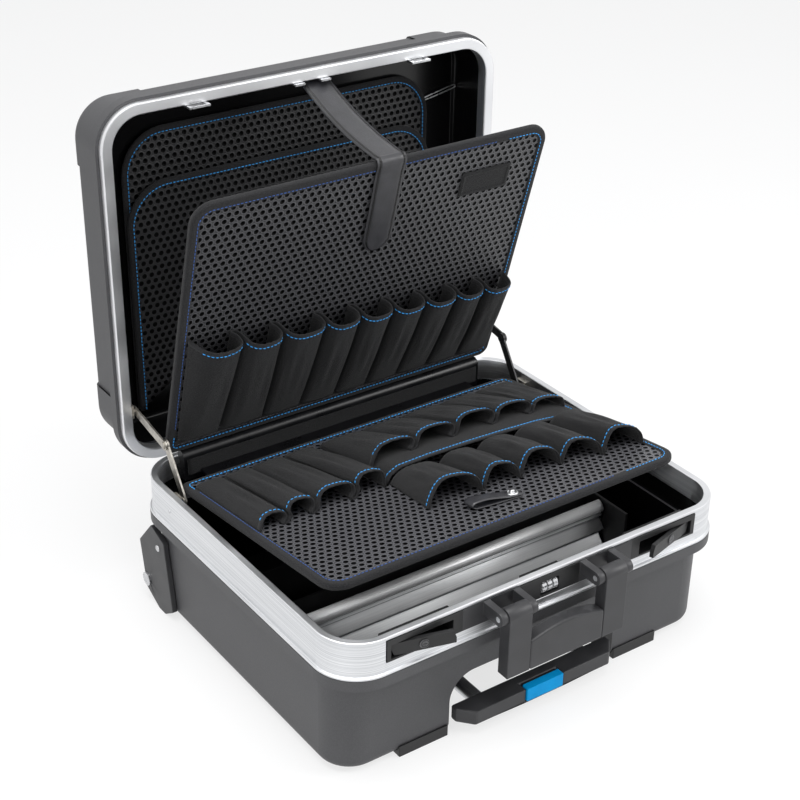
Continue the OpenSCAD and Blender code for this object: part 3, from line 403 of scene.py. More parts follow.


# Tone of the drawn rail by height in mm: painted highlights on the lands and painted shade in the
# grooves between them
RAIL_PAINTED_LIGHT = [
    (48, "d4d6d9"), (52, "ffffff"), (66.8, "f4f5f6"), (68.2, "6a6c70"), (68.9, "ffffff"),
    (71.0, "ffffff"), (71.6, "5c5e62"), (72.4, "d8dadd"), (75.2, "ffffff"), (76.0, "6a6c70"),
    (76.8, "ffffff"), (88.4, "f4f5f6"), (89.4, "6a6c70"), (90.2, "ffffff"), (92.2, "ffffff"),
    (92.8, "6a6c70"), (93.6, "f4f5f6"), (97.0, "a0a2a6"), (98.4, "ffffff"), (112, "ffffff")]
# Drawn lines to a metre, along the metal and across it
ALONG, ACROSS = 6, 1500

LID_PLASTIC = shell_plastic("abs_lid_shell", "lid_shell")
BASE_PLASTIC = shell_plastic("abs_base_shell", "base_shell", ribs=True)
BASE_RIM_METAL = satin_aluminium("satin_aluminium_base_rim", (ALONG, ALONG, ACROSS))
LID_RIM_METAL = satin_aluminium("satin_aluminium_lid_rim", (ALONG, ACROSS, ALONG), "d4d5d8",
                                "f4f5f6")
TUBE_METAL = satin_aluminium("satin_aluminium_tube", (ACROSS, ALONG, ACROSS))
# The rail is given near-white tones and tones by height: painted light that makes up for the shade
# it stands in.
RAIL_METAL = satin_aluminium("drawn_rail_aluminium", (ALONG, ACROSS, ACROSS), "f0f1f2", "ffffff",
                             0.42, 0.6, RAIL_PAINTED_LIGHT)
BLACK_PLASTIC = moulded_plastic("black_polyamide", "131314", "1d1d1e", 0.4)
GREY_PLASTIC = moulded_plastic("grey_polyamide", "2c2c2e", "373739", 0.42)
GLOSS_PLASTIC = moulded_plastic("glossy_black_plastic", "0c0c0e", "131315", 0.3, 4.0, 0.04)
BLUE_PLASTIC = moulded_plastic("blue_polyamide", "008ccc", "0098d8", 0.5, shine=0.12)
NAME_BLUE = moulded_plastic("blue_label_plate", "3a9fc0", "55b2d0", 0.35)
# Tyre rubber: matt black, with dust in a coarser grain
RUBBER = moulded_plastic("wheel_rubber", "151516", "232324", 0.7, 1.6, 0.15)
STEEL = plated_steel("zinc_plated_steel", "b4b5b7", "dcdddf", 0.28)
STAY_STEEL = plated_steel("satin_stay_steel", "928e87", "c4c0b8", 0.34)
DARK_METAL = plated_steel("dark_lock_metal", "4c4c4e", "6a6a6c", 0.34)
CLOTH = woven_cloth("black_woven_polyester", "070708", "141415")
TAPE = woven_cloth("black_binding_tape", "161617", "222224", 1.1, 0.16)
LOOP_PATCH = woven_cloth("loop_fastener", "0d0d0e", "161617", 1.6, 0.5)
UPPER_SHEET = dimpled_sheet("embossed_sheet_upper", UPPER_TILT, "141416", "010101", "525255")
LOWER_SHEET = dimpled_sheet("embossed_sheet_lower", LOWER_TILT, "242426", "010101", "66666a", 0.3)
LID_SHEET = dimpled_sheet("embossed_sheet_lid", 90, "141415", "010101", "2c2c2e", 0.5)
STRAP_LEATHER = leather("coated_strap", "242427", "303034", STRAP_W * MM)
LOOP_LEATHER = leather("coated_pull_loop", "28282b", "353539")
BLUE_THREAD = sewing_thread("blue_polyester_thread", "0090ee", "30b4ff")
DARK_THREAD = sewing_thread("black_polyester_thread", "46464a", "5e5e63")
BLACK_THREAD = sewing_thread("black_strap_thread", "08080a", "141416")
# A darker copy of the blue thread: painted shade for stitches in the tape's shadow.
SHADED_BLUE_THREAD = sewing_thread("shaded_blue_thread", "1a4a90", "2058a8")


# ------------------------------------------------------------------ mesh helpers
def make(name, verts, faces, material, body, uv=None, smooth=True):
    """A mesh object from arrays of points and of faces with 3 or 4 corners each."""
    mesh = bpy.data.meshes.new(name)
    verts = np.asarray(verts, np.float32).reshape(-1, 3)
    if isinstance(faces, np.ndarray):
        faces = [faces]
    sizes = np.concatenate([np.full(len(f), f.shape[1]) for f in faces]).astype(np.int32)
    corners = np.concatenate([f.ravel() for f in faces]).astype(np.int32)
    mesh.vertices.add(len(verts))
    mesh.vertices.foreach_set("co", verts.ravel())
    mesh.loops.add(len(corners))
    mesh.loops.foreach_set("vertex_index", corners)
    mesh.polygons.add(len(sizes))
    mesh.polygons.foreach_set("loop_start", np.r_[0, np.cumsum(sizes)[:-1]].astype(np.int32))
    mesh.polygons.foreach_set("use_smooth", np.full(len(sizes), smooth))
    if uv is None:
        uv = np.zeros((len(verts), 2))
    layer = mesh.uv_layers.new(name="place")
    layer.data.foreach_set("uv", np.asarray(uv, np.float32)[corners].ravel())
    mesh.update(calc_edges=True)
    mesh.validate()
    work = bmesh.new()
    work.from_mesh(mesh)
    bmesh.ops.recalc_face_normals(work, faces=work.faces)
    work.to_mesh(mesh)
    work.free()
    mesh.materials.append(material)
    obj = bpy.data.objects.new(name, mesh)
    bpy.context.scene.collection.objects.link(obj)
    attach(obj, body)
    return obj


def quads(nu, nv, wrap_u=False, wrap_v=False, start=0):
    """Faces of a grid of nu by nv points that may close on itself either way."""
    i = np.arange(nu if wrap_u else nu - 1)
    j = np.arange(nv if wrap_v else nv - 1)
    i, j = [a.ravel() for a in np.meshgrid(i, j, indexing="ij")]
    i2, j2 = (i + 1) % nu, (j + 1) % nv
    return start + np.stack([i * nv + j, i2 * nv + j, i2 * nv + j2, i * nv + j2], -1)


def unit(v):
    """Vectors brought to length 1."""
    return v / np.maximum(np.linalg.norm(v, axis=-1, keepdims=True), 1e-12)


def arc(points):
    """Distance along a row of points."""
    return np.r_[0, np.cumsum(np.linalg.norm(np.diff(points, axis=0), axis=1))]


def through(points, count):
    """A smooth line through control points: cubic curves with tangents from the neighbours."""
    points = np.asarray(points, float)
    slopes = np.gradient(points, axis=0)
    t = np.linspace(0, len(points) - 1, count)
    k = np.minimum(t.astype(int), len(points) - 2)
    u = (t - k)[:, None]
    a, b, m, n = points[k], points[k + 1], slopes[k], slopes[k + 1]
    return ((2 * u ** 3 - 3 * u ** 2 + 1) * a + (u ** 3 - 2 * u ** 2 + u) * m
            + (3 * u ** 2 - 2 * u ** 3) * b + (u ** 3 - u ** 2) * n)


def grid_normals(grid):
    """Unit normals of a grid of points, from its two tangents."""
    return unit(np.cross(np.gradient(grid, axis=0), np.gradient(grid, axis=1)))


def grid_uv(grid):
    """Flat coordinates of a grid of points: mean distances along its two directions."""
    u = np.linalg.norm(np.diff(grid, axis=0), axis=2).mean(1)
    v = np.linalg.norm(np.diff(grid, axis=1), axis=2).mean(0)
    u, v = np.r_[0, np.cumsum(u)], np.r_[0, np.cumsum(v)]
    return np.stack(np.meshgrid(u, v, indexing="ij"), -1)


def thick_sheet(name, grid, thickness, material, body):
    """A closed thin shell: the grid moved half its thickness each way, joined round its edge."""
    nu, nv = grid.shape[:2]
    n = grid_normals(grid) * thickness / 2
    uv = grid_uv(grid).reshape(-1, 2)
    verts = np.concatenate([(grid + n).reshape(-1, 3), (grid - n).reshape(-1, 3)])
    index = np.arange(nu * nv).reshape(nu, nv)
    rim = np.concatenate([index[:, 0], index[-1, 1:], index[-2::-1, -1], index[0, -2::-1]])
    a, b = rim[:-1], rim[1:]
    faces = [quads(nu, nv), quads(nu, nv, start=nu * nv)[:, ::-1],
             np.stack([a, b, b + nu * nv, a + nu * nv], -1)]
    return make(name, verts, np.concatenate(faces), material, body, np.concatenate([uv, uv]))


def sweep(name, path, side, out, profile, material, body, closed=False):
    """A profile carried along a path: profile[:, 0] goes along side, profile[:, 1] along out."""
    grid = (path[:, None] + profile[None, :, :1] * side[:, None]
            + profile[None, :, 1:] * out[:, None])
    nu, nv = grid.shape[:2]
    faces = [quads(nu, nv, closed, True)]
    verts = grid.reshape(-1, 3)
    along = arc(path)
    around = arc(np.c_[profile, np.zeros(len(profile))])
    uv = np.stack(np.meshgrid(along, around, indexing="ij"), -1).reshape(-1, 2)
    if not closed:
        ends = np.stack([grid[0].mean(0), grid[-1].mean(0)])
        uv = np.concatenate([uv, uv[[0, -1]]])
        verts = np.concatenate([verts, ends])
        j = np.arange(nv)
        k = (j + 1) % nv
        faces.append(np.stack([k, j, np.full(nv, nu * nv)], -1))
        last = (nu - 1) * nv
        faces.append(np.stack([last + j, last + k, np.full(nv, nu * nv + 1)], -1))
    return make(name, verts, faces, material, body, uv)


def round_profile(width, height, count, power):
    """A superellipse of count points: power 2 is an ellipse, and a high power nears a rectangle."""
    a = np.linspace(0, 2 * pi, count, endpoint=False)
    c, s = np.cos(a), np.sin(a)
    return np.stack([np.sign(c) * abs(c) ** (2 / power) * width / 2,
                     np.sign(s) * abs(s) ** (2 / power) * height / 2], -1)


def runs(keep, least):
    """Unbroken runs of kept places along a line, as lists of indices, each longer than least."""
    parts = np.split(np.arange(len(keep)), np.flatnonzero(np.diff(keep.astype(int))) + 1)
    return [run for run in parts if keep[run[0]] and len(run) > least]


# One stitch from end to end: its place along as a share of its length, its thickness and its
# height over the cloth as shares of its radius
STITCH = np.array([[-0.5, 0.45, -0.6], [-0.32, 1.0, 0.35], [0.32, 1.0, 0.35], [0.5, 0.45, -0.6]]).T
STITCH_SIDES = 6


def stitches(name, lines, material, body, pitch=4.4 * MM, length=3.3 * MM, r=0.45 * MM):
    """Rows of thread: a short six-sided spindle every pitch, ends tucked into the cloth.

    lines is a list of (points, outward normals), each a row of places along a seam.
    """
    ring, size, lift = STITCH
    turn = np.arange(STITCH_SIDES) * 2 * pi / STITCH_SIDES
    caps = np.array([[0, 1, 2, 3], [0, 3, 4, 5]])
    last = (len(ring) - 1) * STITCH_SIDES
    one = np.concatenate([quads(len(ring), STITCH_SIDES, False, True), caps[:, ::-1], caps + last])
    each = len(ring) * STITCH_SIDES
    verts, faces, count = [], [], 0
    for points, normals in lines:
        d = arc(points)
        number = max(1, int(d[-1] / pitch))
        mid = (np.arange(number) + 0.5) * d[-1] / number
        at = mid[:, None] + ring[None] * length
        where = np.stack([np.interp(at, d, points[:, k]) for k in range(3)], -1)
        out = unit(np.stack([np.interp(at, d, normals[:, k]) for k in range(3)], -1))
        along = unit(where[:, -1:] - where[:, :1])
        side = unit(np.cross(along, out))
        centre = where + out * (lift * r)[None, :, None]
        circle = np.cos(turn)[:, None] * side[:, :, None] + np.sin(turn)[:, None] * out[:, :, None]
        verts.append((centre[:, :, None] + circle * (size * r)[None, :, None, None]).reshape(-1, 3))
        starts = count + np.arange(number) * each
        faces.append((starts[:, None, None] + one[None]).reshape(-1, 4))
        count += number * each
    return make(name, np.concatenate(verts), np.concatenate(faces), material, body)


def end_capped(name, grid, ends, material, body, smooth=True):
    """A piece closed round its grid's first direction, with a point at each end of the other."""
    count, nv = grid.shape[:2]
    i = np.arange(count)
    k = (i + 1) % count
    caps = [np.stack([k * nv, i * nv, np.full(count, count * nv)], -1),
            np.stack([i * nv + nv - 1, k * nv + nv - 1, np.full(count, count * nv + 1)], -1)]
    verts = np.concatenate([grid.reshape(-1, 3), ends])
    return make(name, verts, [quads(count, nv, True, False)] + caps, material, body, smooth=smooth)


def board_axes(point):
    """Unit directions across, along and out of a board whose places point gives."""
    return [(point(*step) - point(0.0, 0.0, 0.0)) / MM for step in np.eye(3)]


# ------------------------------------------------------------------ pallets
# Points of a pallet's outline in each corner and between two corners
PER_CORNER, PER_SIDE = 14, 24


def pallet_outline(half, length, inset):
    """Closed line round a pallet, inset from its edge: (x, s) and outward (x, s) directions, mm."""
    r_top, r_foot = PALLET_R - inset, PALLET_FOOT_R - min(inset, 6)
    right, top, foot = half - inset, length - inset, PALLET_FOOT + inset
    corners = [((right - r_foot, foot + r_foot), r_foot, -90),
               ((right - r_top, top - r_top), r_top, 0),
               ((-right + r_top, top - r_top), r_top, 90),
               ((-right + r_foot, foot + r_foot), r_foot, 180)]
    points, outward = [], []
    for (cx, cs), r, start in corners:
        a = np.radians(start + np.linspace(0, 90, PER_CORNER))
        outward.append(np.stack([np.cos(a), np.sin(a)], -1))
        points.append(np.array([cx, cs]) + r * outward[-1])
    line, out = [], []
    for k in range(4):
        line.append(points[k])
        out.append(outward[k])
        a, b = points[k][-1], points[(k + 1) % 4][0]
        t = np.linspace(0, 1, PER_SIDE + 2)[1:-1, None]
        line.append(a + (b - a) * t)
        out.append(np.repeat(outward[k][-1:], PER_SIDE, 0))
    return np.concatenate(line), np.concatenate(out)


def edge_share(line):
    """Thickness of the edge tape along a line, as a share of its full one: less at the foot."""
    return np.interp(line[:, 1], EDGE_FOOT, [EDGE_FOOT_T / EDGE_T, 1.0])


def bound_edge(name, point, half, length, node, body):
    """Binding tape folded round the pallet's edge, with its row of blue stitches on both faces.

    The thread is thicker at the foot, and elsewhere but on the right a darker blue: painted shade.
    """
    line, out = pallet_outline(half, length, EDGE_W / 2)
    outward = (point(out[:, 0], out[:, 1], 0.0) - point(0.0, 0.0, 0.0)) / MM
    up = np.repeat(board_axes(point)[2][None], len(line), 0)
    tape = sweep(name, point(line[:, 0], line[:, 1], 0.0), outward, up * edge_share(line)[:, None],
                 round_profile(EDGE_W * MM, EDGE_T * MM, 20, 3.4), TAPE, body, closed=True)
    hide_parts(node)
    line, out = pallet_outline(half, length, EDGE_SEAM)
    line = np.concatenate([line, line[:1]])
    face = EDGE_T / 2 * edge_share(line) - 0.15
    foot = line[:, 1] < EDGE_FOOT[1]
    right = ~foot & (line[:, 0] > EDGE_RIGHT)
    # Away from the foot and the right side the stitches get the darker thread: painted shade.
    for tag, keep, thread, r in (("_foot_stitches", foot, BLUE_THREAD, 0.6),
                                 ("_edge_stitches", right, BLUE_THREAD, 0.42),
                                 ("_shaded_stitches", ~foot & ~right, SHADED_BLUE_THREAD, 0.42)):
        rows = [(point(line[run, 0], line[run, 1], side * face[run]),
                 np.repeat(side * up[:1], len(run), 0))
                for run in runs(keep, 3) for side in (1, -1)]
        stitches(name + tag, rows, thread, body, r=r * MM)


bound_edge("upper_edge_tape", upper_point, UPPER_HALF, UPPER_LEN, "upper_binding", "upper_pallet")
bound_edge("lower_edge_tape", lower_point, LOWER_HALF, LOWER_LEN, "lower_binding", "lower_pallet")


# Pockets: a row is one length of cloth that arches out from the board between its seams.
# Mouth of one pocket from valley to valley: share of its width, share of its depth
ARCH = np.array([[0.15, 0.6], [0.185, 0.76], [0.25, 0.88], [0.37, 0.98], [0.5, 1.0], [0.68, 0.98],
                 [0.84, 0.92], [0.95, 0.82], [1.0, 0.68]])
# The same for a first pocket, whose left side starts on the board
FIRST = np.array([[0, 0], [0.04, 0.3], [0.12, 0.6], [0.26, 0.88], [0.46, 1.0], [0.66, 0.99],
                  [0.84, 0.92], [0.95, 0.82], [1.0, 0.68]])
# Pleat folded under a valley, down to the board and back: mm to the right, share of depth
PLEAT = np.array([[0.4, 0.5], [-1.0, 0.28], [-3.6, 0.14], [-4.6, 0.06], [-2.6, 0.01], [0.8, 0.03],
                  [3.0, 0.12], [5.0, 0.32], [6.2, 0.48]])
# Mouth of a pocket whose two sides are sewn straight to the board
SCOOP = np.array([[0, 0], [0.02, 0.22], [0.08, 0.5], [0.18, 0.8], [0.3, 0.97], [0.44, 1.0],
                  [0.6, 0.95], [0.76, 0.84], [0.88, 0.62], [0.935, 0.34], [0.95, 0.05],
                  [0.985, 0.0]])


def mouth_plan(mouths, depths, pleated):
    """Mouth of a row seen along the board: x and height of the hem, and its pocket's depth, mm."""
    x, h, deep = [], [], []
    last = len(depths) - 1
    for k, depth in enumerate(depths):
        width = mouths[k + 1] - mouths[k]
        shape = (FIRST if k == 0 else ARCH) if pleated else SCOOP
        if pleated and k == last:
            shape = np.concatenate([shape, [[1.01, 0.4], [1.0, 0]]])
        x.append(mouths[k] + width * shape[:, 0])
        h.append(depth * shape[:, 1])
        deep.append(np.full(len(shape), depth * 1.0))
        if pleated and k < last:
            x.append(mouths[k + 1] + PLEAT[:, 0])
            h.append(depth * PLEAT[:, 1])
            deep.append(np.linspace(depth, depths[k + 1], len(PLEAT)))
    points = np.stack([np.concatenate(x), np.concatenate(h), np.concatenate(deep)], -1)
    line = through(points, 40 * len(depths))
    return line[:, 0], np.maximum(line[:, 1], 0), line[:, 2]


def flatten(point, s, *pieces):
    """Gives each piece its own copy of its mesh; the pockets are not pressed flat."""
    foot, out = point(0.0, s, BOARD_FACE), point(0.0, s, BOARD_FACE + 1)
    for piece in pieces:
        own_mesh(piece)


def board_height(x, s):
    """Height of a bare board's face, the same everywhere."""
    return np.full(np.broadcast(x, s).shape, BOARD_FACE)


def outer_normals(grid, point, row):
    """Unit normals of a cloth, all turned so that they point out of its board at one row."""
    normals = grid_normals(grid)
    return normals if np.dot(normals[row, 12], board_axes(point)[2]) >= 0 else -normals


def hem(name, grid, normals, width, thick, drop, body):
    """Tape folded over a cloth's last row; drop is how far its middle lies below that row."""
    down = unit(grid[:, -3] - grid[:, -1])
    return down, sweep(name, grid[:, -1] + down * drop, -down, normals[:, -1],
                       round_profile(width, thick, 12, 3.2), TAPE, body)


HEM_W, HEM_T = 6.0 * MM, 1.9 * MM
# How far a pocket's mouth hangs below its hem in the middle, in mm
MOUTH_SAG = 4.0


def pocket_row(name, point, edges, mouths, foot, hems, depths, base, body, node,
               pleated=True, foot_depth=3.0):
    """One row of tool pockets: arched cloth, folded hem and stitches.

    Each point of the cloth goes from the foot seam (v = 0) to the mouth (v = 1): across it is a
    blend of the two lines, and its height is base + w (foot_depth + (depth - foot_depth) v^0.85),
    w being the mouth's height as a share of its depth, with soft creases that run down the cloth.
    """
    opened, high, depth = mouth_plan(mouths, depths, pleated)
    start = np.interp(opened, mouths, edges)
    w = high / depth
    v = np.linspace(0, 1, 30)
    top = np.interp(opened, mouths, hems)
    path = arc(np.stack([opened, high], -1))
    s = foot + (top - MOUTH_SAG * w ** 2 - foot)[:, None] * v[None]
    across = start[:, None] + (opened - start)[:, None] * v[None] ** 0.9
    belly = w[:, None] * (foot_depth + (depth[:, None] - foot_depth) * v[None] ** 0.85)
    bulge = np.sin(pi * v) ** 2
    crease = np.sin(path * 0.37 + foot)[:, None] * np.sin(2.2 * v + 0.11 * path[:, None] + 0.4)
    fold = np.sin(path * 0.83)[:, None] * v[None] ** 3
    belly = belly + w[:, None] * ((0.8 + 1.6 * crease) * bulge[None] + 0.4 * fold)
    grid = point(across, s, base(across, s) + 1.0 + belly)
    cloth = thick_sheet(name, grid, 1.1 * MM, CLOTH, body)
    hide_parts(node)
    normals = outer_normals(grid, point, int(np.argmax(high)))
    down, band = hem(name + "_hem", grid, normals, HEM_W, HEM_T, HEM_W / 2 - 0.6 * MM, body)
    seam = grid[:, -1] + down * (HEM_W - 1.2 * MM) + normals[:, -1] * HEM_T / 2
    outside = w > (0.58 if pleated else 0.05)
    rows = [(seam[run], normals[run, -1]) for run in runs(outside, 4)]
    thread = stitches(name + "_stitches", rows, BLUE_THREAD, body)
    flatten(point, foot, cloth, band, thread)


def foot_tape(name, point, half, s, body):
    """Tape sewn over the foot seam of a row, with a stitch line at each edge."""
    width, thick, seam = 11, 2.4, 3.6
    x = np.linspace(-half, half, 60)
    _, along, up = [np.repeat(axis[None], len(x), 0) for axis in board_axes(point)]
    path = point(x, s + 0 * x, BOARD_FACE + 1.6)
    sweep(name, path, along, up, round_profile(width * MM, thick * MM, 12, 3.0), TAPE, body)
    rows = [(point(x, s + off + 0 * x, BOARD_FACE + 2.75), up) for off in (-seam, seam)]
    stitches(name + "_stitches", rows, DARK_THREAD, body, r=0.35 * MM)


upper_edges = np.array([-206, -160, -105, -57, -11, 31, 74, 116, 160, 206])
upper_mouths = np.array([-206, -153, -105, -51, -6, 38, 82, 126, 166, 206])
upper_hems = np.array([159, 155, 151, 147.5, 144, 140.5, 137, 133, 130, 127])
pocket_row("upper_pocket_cloth", upper_point, upper_edges, upper_mouths, 17, upper_hems,
           [26, 27, 26, 26, 25, 25, 25, 24, 24], board_height, "upper_pallet", "upper_pockets",
           foot_depth=6.0)
foot_tape("upper_foot_tape", upper_point, UPPER_HALF - 11, 15, "upper_pallet")

left_edges = np.array([-212, -181, -147, -107, -68])
left_mouths = np.array([-212, -181, -147, -98, -60])
pocket_row("left_pocket_cloth", lower_point, left_edges, left_mouths, 18, np.full(5, 153),
           [14, 19, 20, 22], board_height, "lower_pallet", "lower_pockets_left")

# The wide flap behind the rear row: x and height of its hem, in mm, and the rows it runs between
FLAP_RISE = np.array([[-58, 0], [-50, 10], [-38, 15], [0, 16], [50, 15], [100, 13], [150, 10],
                      [190, 5], [214, 0]])
FLAP_FOOT, FLAP_TOP = 18, 150


def flap_height(x, s):
    """The flap rises towards its hem and stays down at its two ends."""
    rise = np.interp(x, FLAP_RISE[:, 0], FLAP_RISE[:, 1])
    return BOARD_FACE + rise * np.clip((s - FLAP_FOOT) / 130, 0, 1) ** 1.1


def wide_flap():
    """The flap that carries the rear row, with its own long hem."""
    low, high = FLAP_RISE[0, 0], FLAP_RISE[-1, 0]
    x, s = np.meshgrid(np.linspace(low, high, 70), np.linspace(FLAP_FOOT, FLAP_TOP, 24),
                       indexing="ij")
    grid = lower_point(x, s, flap_height(x, s) + 0.8)
    cloth = thick_sheet("wide_flap_cloth", grid, 1.2 * MM, CLOTH, "lower_pallet")
    normals = outer_normals(grid, lower_point, 35)
    down, band = hem("wide_flap_hem", grid, normals, 7 * MM, 2.3 * MM, 3.2 * MM, "lower_pallet")
    seam = grid[:, -1] + down * 5.6 * MM + normals[:, -1] * 1.15 * MM
    thread = stitches("wide_flap_stitches", [(seam, normals[:, -1])], BLUE_THREAD, "lower_pallet")
    flatten(lower_point, FLAP_FOOT, cloth, band, thread)


wide_flap()
rear_edges = np.array([-56, -4, 48, 102, 154, 206])
rear_mouths = np.array([-55, 2, 56, 111, 163, 211])
pocket_row("rear_pocket_cloth", lower_point, rear_edges, rear_mouths, 20, np.full(6, 119),
           [17, 18, 20, 17, 13], lambda x, s: flap_height(x, s) + 1.0, "lower_pallet",
           "lower_pockets_rear")
front_edges = np.array([-52, 10, 60, 112, 162, 212])
front_mouths = np.array([-56, 14, 61, 114, 162, 213])
front_hems = np.array([225, 227, 229, 232, 244, 252])
pocket_row("front_pocket_cloth", lower_point, front_edges, front_mouths, 150, front_hems,
           [26, 22, 24, 22, 25], board_height, "lower_pallet", "lower_pockets_front", pleated=False,
           foot_depth=13.0)


# ------------------------------------------------------------------ strap, tab, patch, papers
def ribbon(name, path, out, side, widths, thick, material, body, crown=0.0):
    """A flat strap: a rounded strip across each point of its path, as wide there as widths says."""
    across = 9
    a = np.linspace(-1, 1, across)
    edge = thick / 2 * np.sqrt(np.clip(1 - np.abs(a) ** 8, 0.05, 1))
    u = np.concatenate([a, a[::-1]])
    z = np.concatenate([edge, -edge]) + crown * (1 - u ** 2)
    grid = (path[:, None] + side[:, None] * (u[None, :, None] * widths[:, None, None] / 2)
            + out[:, None] * z[None, :, None])
    nu, nv = grid.shape[:2]
    faces = [quads(nu, nv, False, True)]
    for row in (0, nu - 1):
        i = np.arange(across - 1)
        cap = np.stack([i, i + 1, nv - 2 - i, nv - 1 - i], -1) + row * nv
        faces.append(cap if row else cap[:, ::-1])
    around = arc(np.c_[u * widths.max() / 2, 0 * u])
    uv = np.stack(np.meshgrid(arc(path), around, indexing="ij"), -1)
    return make(name, grid.reshape(-1, 3), np.concatenate(faces), material, body, uv.reshape(-1, 2))


def path_frame(path, side):
    """Unit direction out of a strap that lies along path with its width along side."""
    along = unit(np.gradient(path, axis=0))
    side = np.repeat(np.asarray(side, float)[None], len(path), 0)
    return unit(np.cross(side, along)), side


def strap_stitches(name, path, out, side, body):
    """A row of thread along each edge of the retaining strap, on both its faces."""
    rows = []
    for edge in (-1, 1):
        for face in (-1, 1):
            across = side * edge * (STRAP_W / 2 - STRAP_INSET) * MM
            place = path + across + out * face * STRAP_T / 2 * MM
            rows.append((place, out * face))
    return stitches(name, rows, BLACK_THREAD, body, pitch=3.2 * MM, length=2.4 * MM, r=0.42 * MM)


def retaining_strap():
    """The strap from the lid's rim to the pallet: it sags a little, then folds over the edge."""
    t = np.linspace(0, 1, 40)
    edge, rim = upper_point(STRAP_X, UPPER_LEN + 3.4, 1.0), case_point(STRAP_X * 1.0, 33.4, 539.0)
    span = edge + (rim - edge) * t[:, None]
    sag = 7 * MM
    span[:, 2] -= sag * np.sin(pi * t)
    out, side = path_frame(span, (1.0, 0.0, 0.0))
    piece = ribbon("strap_span", span, out, side, np.full(len(t), STRAP_W * MM), STRAP_T * MM,
                   STRAP_LEATHER, "lid", crown=0.5 * MM)
    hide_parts("retaining_strap")
    thread = strap_stitches("strap_span_stitches", span, out, side, "lid")
    for one in (piece, thread):
        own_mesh(one)
    high = STRAP_T / 2 + BOARD_FACE + 1.6
    turn, low_end = np.radians(np.linspace(-50, 90, 12)), 214
    over = [(UPPER_LEN - 3 + (high + 1.2) * np.cos(w) + 0.6, high * np.sin(w)) for w in turn]
    down = [(s, high + 0.5 * np.sin((s - 216) / 25) - 0.7)
            for s in np.linspace(UPPER_LEN - 12, low_end, 46)]
    s, h = np.array(over + down).T
    path = upper_point(STRAP_X + 0 * s, s, h)
    out, side = path_frame(path, (1.0, 0.0, 0.0))
    to_end = arc(path)[-1] - arc(path)
    end = np.clip(to_end / (STRAP_W / 2 * MM), 0.0, 1.0)
    widths = STRAP_W * MM * np.sqrt(np.clip(1 - (1 - end) ** 2, 0.02, 1))
    tab = ribbon("strap_end", path, out, side, widths, STRAP_T * MM, STRAP_LEATHER, "upper_pallet",
                 crown=0.3 * MM)
    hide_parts("strap_tab")
    sewn = to_end > 14 * MM
    strap_stitches("strap_end_stitches", path[sewn], out[sewn], side[sewn], "upper_pallet")


retaining_strap()


def hook_patch():
    """Patch of loop fabric: a raised border round a flat field with round corners."""
    middle_x, middle_s, half_x, half_s, inset = 142.5, 271, 32.5, 15, 3.0
    x, s = np.meshgrid(np.linspace(-1, 1, 66), np.linspace(-1, 1, 34), indexing="ij")
    rim = np.maximum(abs(x) * half_x - half_x + inset, abs(s) * half_s - half_s + inset)
    border = np.exp(-(rim / 1.1) ** 2)
    grid = upper_point(middle_x + half_x * x, middle_s + half_s * s,
                       BOARD_FACE + 0.9 + 0.9 * border)
    patch = thick_sheet("loop_patch", grid, 1.0 * MM, LOOP_PATCH, "upper_pallet")
    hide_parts("hook_patch")


hook_patch()


def turned(name, origin, out, side, profile, body, count=24):
    """A steel piece turned on a lathe: (radius, height) points carried round an axis."""
    out, side = unit(np.asarray(out, float)), unit(np.asarray(side, float))
    a = np.linspace(0, 2 * pi, count, endpoint=False)[:, None]
    spoke = np.cos(a) * side + np.sin(a) * np.cross(out, side)
    profile = np.asarray(profile, float) * MM
    grid = origin + profile[None, :, 1:] * out + profile[None, :, :1] * spoke[:, None]
    ends = [origin + out * profile[k, 1] for k in (0, -1)]
    return end_capped(name, grid, ends, STEEL, body)


def pull_tab():
    """A loop of strap held by a snap: it runs out, turns round and comes back over itself."""
    line = through([(34, 3.9), (24, 4.1), (8, 4.0), (-10, 4.2), (-21, 5.0), (-25, 8.0), (-21, 11.0),
                    (-8, 11.2), (8, 8.6), (20, 6.4), (34, 6.2)], 60)
    path = lower_point(line[:, 0], 256 - 0.12 * (28 - line[:, 0]), line[:, 1])
    slope = radians(180 - LOWER_TILT)
    out, side = path_frame(path, (0.0, -cos(slope), sin(slope)))
    tab = ribbon("pull_loop", path, out, side, np.full(60, 16 * MM), 1.6 * MM, LOOP_LEATHER,
                 "lower_pallet")
    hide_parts("pull_tab")
    turned("snap_button", lower_point(26.0, 256.0, 6.6), board_axes(lower_point)[2], (1, 0, 0),
           [(6.6, 0), (6.6, 0.9), (6.0, 1.5), (4.6, 1.7), (4.0, 1.1), (3.3, 1.0), (2.9, 1.6),
            (2.9, 3.0), (2.4, 3.7), (1.2, 4.0), (0.3, 4.05)], "lower_pallet")


pull_tab()


def lid_wall(x, z, h):
    """Open lid: x across, z up, h out of the lid's back panel towards the front, all in mm."""
    x, z, h = np.broadcast_arrays(*map(np.asarray, (x, z, h)))
    return case_point(x * 1.0, LID_BACK - h, z * 1.0)


